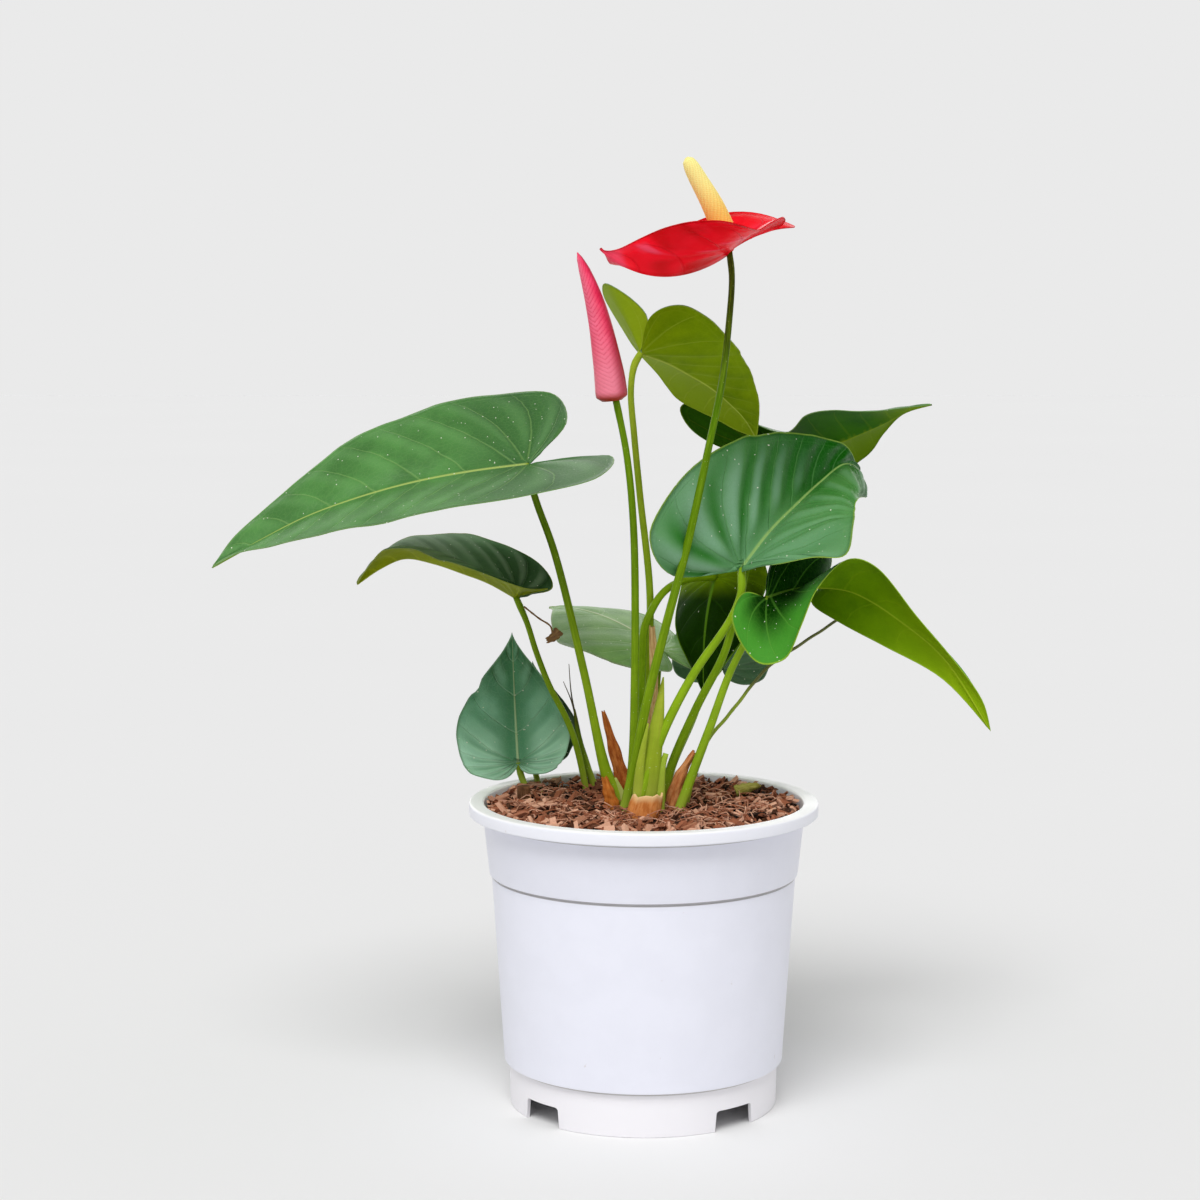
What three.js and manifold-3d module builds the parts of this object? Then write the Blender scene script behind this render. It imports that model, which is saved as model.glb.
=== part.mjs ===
// A potted anthurium: eleven heart-shaped leaves on long stalks, an open red flower, a red bud,
// papery sheaths at the crown and a white nursery pot full of coco husk.
// Millimetres, +Z up. The middle of the pot's base is the origin and the plant's front looks along -Y.
import * as THREE from 'three';
import Module from 'manifold-3d';

const wasm = await Module();
wasm.setup();

// Pot
const potHeight = 133.3;
const rimRadius = 76;
const rimBandBottom = 127.8;
const lipThickness = 1.9;
const wallThickness = 1.3;
const footRadius = 58.4;
const floorTop = 11.4;
const floorThickness = 1.4;
const wellRadius = 22;
const notchHeight = 9;
const notchWidth = 21.6;
const notchAngle = 41;
const drainHoleRadius = 4.5;
const drainCircleRadius = 39;
const drainHoleCount = 6;
const potSegments = 40;

// Growing mix
const mixTop = 130.4;
const moundHeight = 0.6;
const moundRadius = 34;
const mixGap = 0.45;
const mixRoughness = 0.9;
const mixReach = 68.4;
const chipCount = 28;
const chipReach = 55;

// Plant
const bladeThickness = 0.8;
const spatheThickness = 0.9;
const bladeColumns = 16;
const guidedColumns = 20;
const lobeShare = 1 / 3;
const bladeRows = [0, 0.4, 0.75, 1];
const stalkGap = 2.3;
const stalkFoot = 116;
const footLean = 0.35;
const holeGap = 0.5;
const stalkStep = 15;

const rad = THREE.MathUtils.degToRad;
const clamp = THREE.MathUtils.clamp;
const mix = THREE.MathUtils.lerp;

// A repeatable random number between 0 and 1
function randomFrom(seed) {
  let state = seed;
  return () => {
    state = (state * 16807) % 2147483647;
    return state / 2147483647;
  };
}

function vector([x, y, z]) {
  return new THREE.Vector3(x, y, z);
}

// ---- solids ----

function closedSolid(points, faces) {
  const mesh = new wasm.Mesh({
    numProp: 3,
    vertProperties: new Float32Array(points.flatMap((p) => [p.x, p.y, p.z])),
    triVerts: new Uint32Array(faces.flat()),
  });
  return new wasm.Manifold(mesh);
}

// Joins rings of equally many points, listed anticlockwise about the way they run, and closes both ends
function loft(rings) {
  const count = rings[0].length;
  const faces = [];
  for (let i = 0; i + 1 < rings.length; i += 1) {
    for (let j = 0; j < count; j += 1) {
      const next = (j + 1) % count;
      const a = i * count + j;
      const b = i * count + next;
      const c = (i + 1) * count + next;
      const d = (i + 1) * count + j;
      faces.push([a, b, c], [a, c, d]);
    }
  }
  const last = (rings.length - 1) * count;
  for (let j = 1; j + 1 < count; j += 1) {
    faces.push([0, j + 1, j], [last, last + j, last + j + 1]);
  }
  return closedSolid(rings.flat(), faces);
}

// Turns a profile about Z. It starts on the axis below, runs round the outside and ends on the axis above.
function revolve(profile, segments, heightAt = (r, z) => z) {
  const points = [];
  const rows = profile.map(([r, z], row) => {
    const copies = r === 0 ? 1 : segments;
    const start = points.length;
    for (let j = 0; j < copies; j += 1) {
      const angle = (2 * Math.PI * j) / segments;
      points.push(new THREE.Vector3(r * Math.cos(angle), r * Math.sin(angle), heightAt(r, z, angle, row)));
    }
    return (j) => start + (j % copies);
  });
  const faces = [];
  for (let i = 0; i + 1 < rows.length; i += 1) {
    for (let j = 0; j < segments; j += 1) {
      const a = rows[i](j);
      const b = rows[i](j + 1);
      const c = rows[i + 1](j + 1);
      const d = rows[i + 1](j);
      if (a !== b) faces.push([a, b, c]);
      if (c !== d) faces.push([a, c, d]);
    }
  }
  return closedSolid(points, faces);
}

// Gives a surface an even thickness: both faces are cut into the same triangles
function thicken(points, faces, thickness) {
  const normals = points.map(() => new THREE.Vector3());
  const edges = new Set();
  for (const face of faces) {
    const [a, b, c] = face.map((index) => points[index]);
    const normal = b.clone().sub(a).cross(c.clone().sub(a));
    face.forEach((index, corner) => {
      normals[index].add(normal);
      edges.add(`${index},${face[(corner + 1) % 3]}`);
    });
  }
  const offset = (side) => points.map((p, i) => {
    const shift = normals[i].clone().setLength((side * thickness) / 2);
    return p.clone().add(shift);
  });
  const count = points.length;
  const closed = faces.flatMap(([a, b, c]) => [[a, b, c], [a + count, c + count, b + count]]);
  for (const edge of edges) {
    const [a, b] = edge.split(',').map(Number);
    if (!edges.has(`${b},${a}`)) closed.push([b, a, a + count], [b, a + count, b + count]);
  }
  return closedSolid([...offset(1), ...offset(-1)], closed);
}

// A rectangular grid of points as triangles, rows first
function gridFaces(rows, columns) {
  const faces = [];
  for (let i = 0; i + 1 < rows; i += 1) {
    for (let j = 0; j + 1 < columns; j += 1) {
      const a = i * columns + j;
      faces.push([a, a + 1, a + columns + 1], [a, a + columns + 1, a + columns]);
    }
  }
  return faces;
}

// ---- stems ----

function routeCurve(route) {
  return new THREE.CatmullRomCurve3(route.map(vector), false, 'centripetal');
}

function tube(route, radiusAt, sides = 7, grow = 0) {
  const curve = routeCurve(route);
  const steps = Math.max(4, Math.ceil(curve.getLength() / stalkStep));
  const frames = curve.computeFrenetFrames(steps);
  const rings = [];
  for (let i = 0; i <= steps; i += 1) {
    const centre = curve.getPointAt(i / steps);
    const radius = radiusAt(i / steps) + grow;
    const ring = [];
    for (let j = 0; j < sides; j += 1) {
      const angle = (2 * Math.PI * j) / sides;
      ring.push(centre.clone()
        .addScaledVector(frames.normals[i], radius * Math.cos(angle))
        .addScaledVector(frames.binormals[i], radius * Math.sin(angle)));
    }
    rings.push(ring);
  }
  return loft(rings);
}

// Leads a route down into the mix, a little steeper than it leaves it
function rooted(route, depth = stalkFoot) {
  const [first, second] = route;
  const drop = (first[2] - depth) / (second[2] - first[2]);
  const foot = [
    first[0] - footLean * drop * (second[0] - first[0]),
    first[1] - footLean * drop * (second[1] - first[1]),
    depth,
  ];
  return [foot, ...route];
}

// The end of a route, shortened so that the blade it carries stays clear
function endBefore(route, foot, gap) {
  const previous = vector(route.at(-1));
  const end = vector(foot);
  end.add(previous.sub(end).setLength(gap));
  return [...route, end.toArray()];
}

// A strip of sheath along a route: half widths at its foot and top, bowed towards the front
function strip(route, foot, top, bow, grow = 0) {
  const curve = routeCurve(route);
  const rows = 7;
  const columns = 5;
  const points = [];
  for (let i = 0; i < rows; i += 1) {
    const t = i / (rows - 1);
    const centre = curve.getPointAt(t);
    const along = curve.getTangentAt(t);
    const side = new THREE.Vector3(0, -1, 0).cross(along).normalize();
    const front = along.clone().cross(side);
    const half = mix(foot, top, t ** 1.6) + grow;
    for (let j = 0; j < columns; j += 1) {
      const w = (2 * j) / (columns - 1) - 1;
      const ragged = i === rows - 1 ? 1.6 * ((j * 2) % 3) : 0;
      points.push(centre.clone()
        .addScaledVector(side, half * w)
        .addScaledVector(front, bow * (1 - w * w))
        .addScaledVector(along, ragged));
    }
  }
  return thicken(points, gridFaces(rows, columns), 0.8 + 2 * grow);
}

// ---- leaves ----

// Half an outline from the stalk round the lobe to the tip: along in lobe or blade lengths, across in half widths
const halfOutline = new THREE.SplineCurve([
  [0, 0], [-0.45, 0.06], [-0.88, 0.24], [-1, 0.5], [-0.72, 0.82], [-0.1, 0.985], [0.1, 1],
  [0.3, 0.9], [0.5, 0.69], [0.7, 0.42], [0.86, 0.17], [0.95, 0.045], [1, 0],
].map(([x, y]) => new THREE.Vector2(x, y)));

function outlinePoint(leaf, left, t) {
  const { x: along, y } = halfOutline.getPoint(t);
  const across = Math.max(y, 0);
  const lobe = left ? leaf.lobeLeft : leaf.lobeRight;
  const half = left ? leaf.halfLeft : leaf.halfRight;
  const widen = along < 0 ? 1 - leaf.splay * along : 1 + 4 * leaf.full * along * (1 - along);
  return { x: along * (along > 0 ? leaf.length : lobe), y: across * half * widen };
}

// Directions at a place along the blade: T runs to the tip, S to the left edge, N out of the upper face
function bladeFrame(leaf, x, left) {
  const u = clamp(x / leaf.length, 0, 1.1);
  const b = clamp(-x / Math.max(leaf.lobeLeft, leaf.lobeRight), 0, 1);
  const pitch = rad(leaf.pitch - leaf.droop * u + b * (left ? leaf.backLeft : leaf.backRight));
  const heading = rad(leaf.heading + leaf.yaw * u);
  const roll = rad(leaf.roll + leaf.twist * THREE.MathUtils.smoothstep(u, 0, leaf.twistEnd ?? 1));
  const flat = new THREE.Vector3(Math.cos(heading), Math.sin(heading), 0);
  const T = flat.clone().multiplyScalar(Math.cos(pitch)).setZ(Math.sin(pitch));
  const level = new THREE.Vector3(-flat.y, flat.x, 0);
  const up = T.clone().cross(level);
  const S = level.clone().multiplyScalar(Math.cos(roll)).addScaledVector(up, Math.sin(roll));
  const N = up.multiplyScalar(Math.cos(roll)).addScaledVector(level, -Math.sin(roll));
  return { T, S, N };
}

function midribPoint(leaf, x, left) {
  const point = vector(leaf.foot);
  const steps = Math.max(1, Math.ceil(Math.abs(x) / 3));
  for (let i = 0; i < steps; i += 1) {
    const middle = (x * (i + 0.5)) / steps;
    point.addScaledVector(bladeFrame(leaf, middle, left).T, x / steps);
  }
  return point;
}

// The blade bends across its width as well: it folds up from the midrib and curls towards the edge
function bladePoint(leaf, x, across, left, lift) {
  const { S, N } = bladeFrame(leaf, x, left);
  const u = clamp(x / leaf.length, 0, 1);
  const fold = rad(left ? leaf.foldLeft + leaf.openLeft * u : leaf.foldRight + leaf.openRight * u);
  const bend = rad(left ? leaf.curlLeft / leaf.halfLeft : leaf.curlRight / leaf.halfRight) || 1e-6;
  const outward = (Math.sin(fold + bend * across) - Math.sin(fold)) / bend;
  const upward = (Math.cos(fold) - Math.cos(fold + bend * across)) / bend;
  return midribPoint(leaf, x, left)
    .addScaledVector(S, left ? outward : -outward)
    .addScaledVector(N, upward + lift);
}

// Columns of points from the midrib to one margin of a blade that bends from its stalk
function bentHalf(leaf, left, place) {
  const meanHalf = (leaf.halfLeft + leaf.halfRight) / 2;
  const columns = [];
  for (let j = 1; j <= bladeColumns; j += 1) {
    const t = j / bladeColumns;
    const edge = outlinePoint(leaf, left, t);
    const shared = halfOutline.getPoint(t);
    const lean = 0.6 * Math.max(shared.y, 0) * meanHalf;
    const spine = j === bladeColumns ? leaf.length : Math.max(0, shared.x * leaf.length - lean);
    const waves = Math.sin(2 * Math.PI * (leaf.ripples * t + (left ? 0.1 : 0.6)));
    columns.push(bladeRows.map((s) => {
      const lift = j === bladeColumns ? 0 : leaf.wave * s * s * waves * Math.sin(Math.PI * t);
      const x = mix(spine, edge.x, s);
      const across = edge.y * s;
      const onMidrib = across < 0.001;
      const key = onMidrib ? x.toFixed(3) : `${x.toFixed(3)},${(left ? across : -across).toFixed(3)}`;
      return place(key, () => bladePoint(leaf, x, across, left, lift));
    }));
  }
  return columns;
}

// The same for a blade led by three curves, its midrib and its two margins, all from the stalk to the tip
function guidedHalf(leaf, left, place) {
  const midrib = new THREE.CatmullRomCurve3(leaf.midrib.map(vector), false, 'catmullrom');
  const margin = new THREE.CatmullRomCurve3((left ? leaf.left : leaf.right).map(vector), false, 'catmullrom');
  const bulge = left ? leaf.bulgeLeft : leaf.bulgeRight;
  const columns = [];
  for (let j = 1; j <= guidedColumns; j += 1) {
    const t = j / guidedColumns;
    const u = clamp((t - lobeShare) / (1 - lobeShare), 0, 1);
    const spine = midrib.getPoint(u);
    const across = margin.getPoint(t).sub(spine);
    const run = midrib.getPoint(Math.min(u + 0.02, 1)).sub(midrib.getPoint(Math.max(u - 0.02, 0)));
    const up = run.cross(across).multiplyScalar(left ? 1 : -1).normalize();
    columns.push(bladeRows.map((s) => {
      const key = s === 0 || j === guidedColumns ? u.toFixed(3) : `${left},${j},${s}`;
      const lift = 4 * bulge * s * (1 - s) * Math.sin(Math.PI * t);
      return place(key, () => spine.clone().addScaledVector(across, s).addScaledVector(up, lift));
    }));
  }
  return columns;
}

function blade(leaf, thickness = bladeThickness) {
  const points = [];
  const faces = [];
  const known = new Map();
  const place = (key, make) => {
    if (!known.has(key)) known.set(key, points.push(make()) - 1);
    return known.get(key);
  };
  for (const left of [true, false]) {
    const columns = leaf.midrib ? guidedHalf(leaf, left, place) : bentHalf(leaf, left, place);
    for (let j = 0; j + 1 < columns.length; j += 1) {
      for (let i = 0; i + 1 < bladeRows.length; i += 1) {
        const a = columns[j][i];
        const b = columns[j + 1][i];
        const c = columns[j + 1][i + 1];
        const d = columns[j][i + 1];
        for (const face of [[a, b, c], [a, c, d]]) {
          if (new Set(face).size === 3) faces.push(left ? face : face.reverse());
        }
      }
    }
  }
  return thicken(points, faces, thickness);
}

// ---- nodes ----

const group = new THREE.Group();
const holes = [];

function add(name, solid, color, roughness = 0.45) {
  const mesh = solid.getMesh();
  const geometry = new THREE.BufferGeometry();
  geometry.setAttribute('position', new THREE.BufferAttribute(new Float32Array(mesh.vertProperties), 3));
  geometry.setIndex(new THREE.BufferAttribute(new Uint32Array(mesh.triVerts), 1));
  const material = new THREE.MeshStandardMaterial({ color, roughness, metalness: 0 });
  const part = new THREE.Mesh(geometry, material);
  part.name = name;
  group.add(part);
}

// A stem that stands in the mix, in a plain hole of its own
function rootedStem(route, foot, top, sides = 7) {
  const path = rooted(route);
  const taper = (t) => mix(foot, top, t);
  const [x, y, z] = path[0];
  holes.push(tube([[x, y, z - holeGap], ...path.slice(1)], taper, sides + 1, holeGap + 0.1));
  return tube(path, taper, sides);
}

function rootedStrip(route, foot, top, bow) {
  const [x, y, z] = route[0];
  holes.push(strip([[x, y, z - holeGap], ...route.slice(1)], foot, top, bow, holeGap));
  return strip(route, foot, top, bow);
}

// ---- leaves: sizes in mm, angles in degrees ----
// heading 0 points to the right and 90 to the back; pitch lifts the blade; droop, yaw and twist are
// the turn from the stalk to the tip; fold and curl bend each half, back bends each lobe.
// A large blade is led by its midrib and margins instead, and bulge lifts each half between them.

const leaves = {
  leaf_upper_left: {
    midrib: [
      [-50.5, -8, 279.5], [-74.5, -10, 276.5], [-98.5, -10.5, 272], [-122, -9.5, 265.5], [-145, -6.5, 257],
      [-166.5, -2, 246], [-187, 3.5, 234.5],
    ],
    left: [
      [-50.5, -8, 279.5], [-17.5, -22, 284.5], [-22.5, -54, 277], [-52, -60, 269.5], [-78.5, -59.5, 266],
      [-91.5, -57, 262.5], [-104.5, -53, 259.5], [-117.5, -47, 256.5], [-131, -39.5, 253.5],
      [-145, -30.5, 250], [-159, -20, 245.5], [-174, -7.5, 242], [-187, 3.5, 234.5],
    ],
    right: [
      [-50.5, -8, 279.5], [-35.5, 5.5, 296.5], [-44, 34.5, 308.5], [-67.5, 37.5, 308], [-89.5, 33, 304],
      [-104.5, 29, 299], [-118.5, 24, 293.5], [-132, 19, 286.5], [-144, 14.5, 277], [-155.5, 10.5, 267],
      [-167, 7, 257.5], [-178, 4, 247], [-187, 3.5, 234.5],
    ],
    bulgeLeft: 0.5, bulgeRight: 1.5, color: '#629158',
    stalk: { from: 2.2, to: 1.65, color: '#7fa52a' },
    route: [[-9.5, 4, 129], [-16, 2, 144], [-26, -2, 190], [-38.5, -6, 242], [-46.5, -8, 265]],
  },
  leaf_lower_left: {
    midrib: [
      [-56.5, 32, 219], [-68, 31.5, 225.5], [-80, 31, 230], [-92.5, 32, 234], [-105.5, 33.5, 236],
      [-117, 36, 231], [-127.5, 39, 223.5],
    ],
    left: [
      [-56.5, 32, 219], [-42, 24.5, 224.5], [-50.5, -14, 231], [-66.5, -26, 234.5], [-82, -26.5, 239.5],
      [-87.5, -23.5, 241], [-93.5, -19.5, 242.5], [-100, -13.5, 244], [-106.5, -5.5, 244],
      [-113, 5, 241.5], [-118.5, 18.5, 236], [-123.5, 31, 230], [-127.5, 39, 223.5],
    ],
    right: [
      [-56.5, 32, 219], [-40.5, 39.5, 221.5], [-45.5, 67.5, 228.5], [-60, 80.5, 236.5], [-75.5, 83, 241.5],
      [-83.5, 78.5, 242.5], [-91.5, 72, 243.5], [-99, 65, 243.5], [-106, 58.5, 242.5], [-113, 52, 240],
      [-118.5, 46.5, 235.5], [-123, 41.5, 229.5], [-127.5, 39, 223.5],
    ],
    bulgeLeft: 3, bulgeRight: 1.5, color: '#4d6b3c',
    stalk: { from: 1.8, to: 1.3, gap: 2.8, color: '#8aa834' },
    route: [[-25, 41, 128], [-30, 39, 152], [-34.5, 38, 164], [-41.5, 36, 178], [-47.5, 34, 194], [-51.5, 33, 207]],
  },
  leaf_low_front: {
    length: 60, lobeLeft: 9, lobeRight: 9, halfLeft: 25, halfRight: 22, splay: 0.04, full: 0.24,
    heading: 99, pitch: 63, droop: -17, yaw: 1, roll: -8, twist: 8,
    foldLeft: 12, foldRight: 13, openLeft: -1, openRight: -2, curlLeft: 0, curlRight: 0,
    backLeft: -15, backRight: -24, foot: [-56, 42, 142.6], wave: 1, ripples: 4, color: '#4f8363',
    stalk: { from: 1.4, to: 1.2, gap: 3, color: '#7f9a3a' },
    route: [[-51, 38.5, 128.5], [-54.5, 42.5, 136]],
  },
  leaf_low_behind: {
    length: 42, lobeLeft: 8, lobeRight: 8, halfLeft: 17, halfRight: 18, splay: 0.04, full: 0.24,
    heading: 93, pitch: 62, droop: -14, yaw: 1, roll: -4, twist: 6,
    foldLeft: 10, foldRight: 12, openLeft: 0, openRight: 0, curlLeft: 0, curlRight: 0,
    backLeft: -15, backRight: -20, foot: [-49, 53, 146], wave: 0.8, ripples: 4, color: '#3a5f3c',
    stalk: { from: 1.4, to: 1.2, gap: 3.4, color: '#7f9a3a' },
    route: [[-46, 42, 128], [-48.5, 51.5, 137.5]],
  },
  leaf_grey_back: {
    length: 78, lobeLeft: 18, lobeRight: 21, halfLeft: 33, halfRight: 29, splay: -0.09, full: 0.32,
    heading: 137, pitch: 27, droop: 35, yaw: -9, roll: 10, twist: -10,
    foldLeft: -1, foldRight: 4, openLeft: -9, openRight: 2, curlLeft: -23, curlRight: -10,
    backLeft: -1, backRight: 2, foot: [7.9, 52, 192.4], wave: 1, ripples: 4, color: '#7f9e7b',
    stalk: { from: 1.9, to: 1.4, gap: 3.2, color: '#7c9c2c' },
    route: [[4, 20, 129.5], [4.5, 22, 147], [6, 34, 172]],
  },
  leaf_top_back: {
    midrib: [
      [-1, 22, 327], [10, 30, 323], [20, 38.5, 317.5], [30, 47, 311.5], [38.5, 55.5, 304.5],
      [46.5, 64.5, 296.5], [52.5, 73.5, 287],
    ],
    left: [
      [-1, 22, 327], [1, 17, 343.5], [-15.5, 36, 357], [-17, 62.5, 350.5], [-7, 68.5, 333.5],
      [-1, 69.5, 326], [5, 70, 318.5], [11, 70, 311], [17.5, 69.5, 304.5], [26, 69, 299.5],
      [34.5, 69.5, 295.5], [43, 70.5, 291], [52.5, 73.5, 287],
    ],
    right: [
      [-1, 22, 327], [2.5, 6, 342.5], [14.5, -2.5, 347.5], [28.5, 2.5, 341.5], [40, 18.5, 330],
      [43, 26.5, 325.5], [46.5, 35, 320.5], [49, 43.5, 315.5], [51, 50.5, 310], [52.5, 56.5, 304.5],
      [53, 62.5, 299], [53, 68, 293], [52.5, 73.5, 287],
    ],
    bulgeLeft: 0.5, bulgeRight: -2, color: '#7c9712',
    stalk: { from: 2, to: 1.6, color: '#8fae1c' },
    route: [
      [1.5, 12, 131], [1, 12, 140], [2, 17, 179], [3, 21, 221], [-1.5, 20, 265], [-4, 20, 290.5],
      [-5.5, 21, 310.5], [-4, 22, 321.5],
    ],
  },
  leaf_far_right: {
    midrib: [
      [61.5, 80, 280.5], [76.5, 80, 282], [89, 79, 284.5], [100, 78, 289], [111, 76, 294],
      [121.5, 73, 299.5], [132, 70, 302.5],
    ],
    left: [
      [61.5, 80, 280.5], [54, 92, 273], [46.5, 104, 265], [48, 114, 257.5], [59.5, 120, 254.5],
      [71.5, 122, 257], [83, 121, 262], [94, 117, 268], [102.5, 110, 274], [108.5, 102, 280],
      [113, 93, 288.5], [120, 82, 297.5], [132, 70, 302.5],
    ],
    right: [
      [61.5, 80, 280.5], [43.5, 86, 280], [25, 88, 288.5], [18, 86, 300.5], [32.5, 82, 308],
      [53, 76.5, 300.5], [64.5, 58, 292.5], [72.5, 47, 298.5], [83.5, 45, 300.5], [95, 48, 300.5],
      [107.5, 54, 300.5], [120, 62, 301.5], [132, 70, 302.5],
    ],
    bulgeLeft: 3, bulgeRight: 2, color: '#55781a',
    stalk: { from: 2, to: 1.6, gap: 3, color: '#84a528' },
    route: [
      [8, -2, 130], [11.5, 0, 146.5], [23, 2, 173.5], [35, 6, 196.5], [40, 12, 212.5], [43.5, 18, 223.5],
      [46, 25, 234], [49, 35, 246], [51.5, 50, 260.5], [53.5, 66, 273],
    ],
  },
  leaf_big_right: {
    midrib: [
      [42, -5, 235], [54, 6, 249], [66.5, 18.5, 260], [78, 32, 270], [90, 46, 278.5], [100.5, 60, 274.5],
      [103.5, 74, 260],
    ],
    left: [
      [42, -5, 235], [12, -22, 233.5], [2, -38, 253.5], [17.5, -19.5, 277.5], [41, 6.5, 290],
      [50.5, 16.5, 291.5], [60.5, 27, 292], [71, 37, 291], [81, 46.5, 288.5], [91, 55, 285.5],
      [97, 62, 279], [100, 68, 269.5], [103.5, 74, 260],
    ],
    right: [
      [42, -5, 235], [56, -27, 239], [70.5, -38, 243], [83.5, -42.5, 245], [89, -16, 257],
      [89.5, -12, 258], [90, -7, 259.5], [91, -1, 260.5], [91.5, 6, 262], [93, 14, 263], [95, 25.5, 263],
      [99.5, 52, 261.5], [103.5, 74, 260],
    ],
    bulgeLeft: -4, bulgeRight: 3, color: '#3f6f33',
    stalk: { from: 2.3, to: 1.5, color: '#86a52a' },
    route: [[-2, -17, 136.5], [1, -16, 145.5], [8.5, -14, 166], [21, -12, 190], [37, -10, 213.5], [41.5, -9, 225]],
  },
  leaf_drooping: {
    midrib: [
      [52.5, -8, 222.5], [63.5, -3, 225], [77, 1.5, 226.5], [91.5, 0, 224], [108.5, -6.5, 214],
      [129, -13.5, 196.5], [148, -19, 166.5],
    ],
    left: [
      [52.5, -8, 222.5], [53.5, -3.5, 226.5], [53.5, 1, 232.5], [56.5, 7, 238], [62.5, 13, 241.5],
      [73.5, 20, 243.5], [82.5, 24.5, 238], [80, 20, 227.5], [73.5, 12, 218.5], [83, 5, 211.5],
      [103, -4, 201.5], [128, -13.5, 188], [148, -19, 166.5],
    ],
    right: [
      [52.5, -8, 222.5], [42, -15.5, 225.5], [37, -24, 214], [46.5, -29, 198], [59, -31, 199.5],
      [66, -32, 213.5], [72.5, -30.5, 229.5], [85, -27.5, 241], [98.5, -24, 236.5], [115, -21, 217],
      [131.5, -19.5, 197.5], [144, -19, 180], [148, -19, 166.5],
    ],
    bulgeLeft: 2, bulgeRight: 2, color: '#6f8a1e',
    stalk: { from: 2.2, to: 1.7, gap: 2.7, color: '#86a52a' },
    route: [[15, -10, 129.5], [18.5, -9, 139.5], [28.5, -8, 166.5], [37.5, -8, 191.5], [47.5, -8, 211]],
  },
  leaf_hanging: {
    length: 55, lobeLeft: 12, lobeRight: 12, halfLeft: 31, halfRight: 26, splay: -0.05, full: 0.03,
    heading: 232, pitch: -62, droop: 37, yaw: 15, roll: 13, twist: 5,
    foldLeft: -1, foldRight: -4, openLeft: 3, openRight: 5, curlLeft: -8, curlRight: -10,
    backLeft: 0, backRight: 0, foot: [33, 44, 226.3], wave: 0.8, ripples: 4, color: '#3e6322',
    stalk: { from: 2, to: 1.5, color: '#7c9c22' },
    route: [
      [0, 4, 132.5], [-0.5, 5, 150], [-1, 7, 176], [-0.5, 9, 195.5], [0.5, 12, 207.5], [3.5, 14, 214.5],
      [7.5, 19, 220.5], [13, 26, 224.5], [22, 35, 226.5],
    ],
  },
  leaf_low_back: {
    length: 52, lobeLeft: 9, lobeRight: 10, halfLeft: 23, halfRight: 23, splay: 0.1, full: 0.05,
    heading: 83, pitch: 64, droop: 1, yaw: 3, roll: -1, twist: 0,
    foldLeft: 8, foldRight: 8, openLeft: 0, openRight: 0, curlLeft: 3, curlRight: 1,
    backLeft: -5, backRight: -7, foot: [37.7, 86, 180.4], wave: 0.8, ripples: 4, color: '#71907c',
    stalk: { from: 1.7, to: 1.3, color: '#7c9c2c' },
    route: [[9.5, 24, 128.5], [13, 32, 141], [23, 60, 158], [31, 91, 170.5]],
  },
};

// Sheaths and a young stalk that grow on two of the stalks
const joined = {
  leaf_upper_left: [
    { route: [[-7.4, 1.8, 125], [-9.6, 1.9, 135], [-12.6, 1.9, 142.5]], from: 2.1, to: 0.6 },
  ],
  leaf_big_right: [
    { route: [[0.4, -14.5, 126], [3, -14.5, 150], [5.6, -13.5, 168], [7.8, -12.5, 188]], from: 3.2, to: 0.4, hold: 3 },
    { route: [[-3, -17.5, 126], [-1.2, -17, 149.5], [2.6, -17, 169.5]], from: 1.7, to: 0.5 },
    { route: [[6.5, -16.5, 126], [8, -15, 151], [9.4, -14, 156]], from: 1.7, to: 1.2 },
    { route: [[-2, -17, 127.5], [2, -16.8, 127.5], [6, -16.3, 127.5]], from: 1.4, to: 1.3 },
  ],
};

for (const [name, leaf] of Object.entries(leaves)) {
  const { from, to, color } = leaf.stalk;
  const foot = leaf.foot ?? leaf.midrib[0];
  add(`${name}_blade`, blade(leaf), leaf.color, 0.35);
  let stalk = rootedStem(endBefore(leaf.route, foot, leaf.stalk.gap ?? stalkGap), from, to);
  for (const growth of joined[name] ?? []) {
    const taper = (t) => mix(growth.from, growth.to, t ** (growth.hold ?? 1.5));
    stalk = stalk.add(tube(growth.route, taper, 6));
    const [x, y, z] = growth.route[0];
    holes.push(tube([[x, y, z - holeGap], ...growth.route.slice(1)], taper, 8, holeGap));
  }
  add(`${name}_stalk`, stalk, color, 0.45);
}

// ---- flower and bud ----

const spathe = {
  length: 78, lobeLeft: 23, lobeRight: 42, halfLeft: 27, halfRight: 24, splay: -0.15, full: 0.41,
  heading: 216, pitch: -30, droop: -60, yaw: 15, roll: -7, twist: 40,
  foldLeft: 33, foldRight: 28, openLeft: 26, openRight: 19, curlLeft: -9, curlRight: -12,
  backLeft: 42, backRight: 42, foot: [34.9, -25, 369.9], wave: 0.8, ripples: 4,
};
add('spathe', blade(spathe, spatheThickness), '#d30a1c', 0.2);

const flowerRoute = [
  [-9, -11, 127.5], [-4.5, -11, 148.5], [1, -15, 178], [9, -21, 212], [18, -27, 248], [26.5, -30, 288.5],
  [32, -29, 316], [35, -27, 342], [36, -26, 359.5],
];
add('flower_stalk', rootedStem(endBefore(flowerRoute, spathe.foot, stalkGap), 2.2, 1.2), '#7d8a2a', 0.45);

// A ring square to Z-ish axes is enough for the bud and the spadix: both stand close to upright
function uprightRing(centre, along, radiusAt, sides) {
  const side = new THREE.Vector3(0, 1, 0).cross(along).normalize();
  const back = along.clone().cross(side);
  const ring = [];
  for (let j = 0; j < sides; j += 1) {
    const angle = (2 * Math.PI * j) / sides;
    const radius = radiusAt(angle / (2 * Math.PI));
    ring.push(centre.clone()
      .addScaledVector(side, radius * Math.cos(angle))
      .addScaledVector(back, radius * Math.sin(angle)));
  }
  return ring;
}

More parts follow.
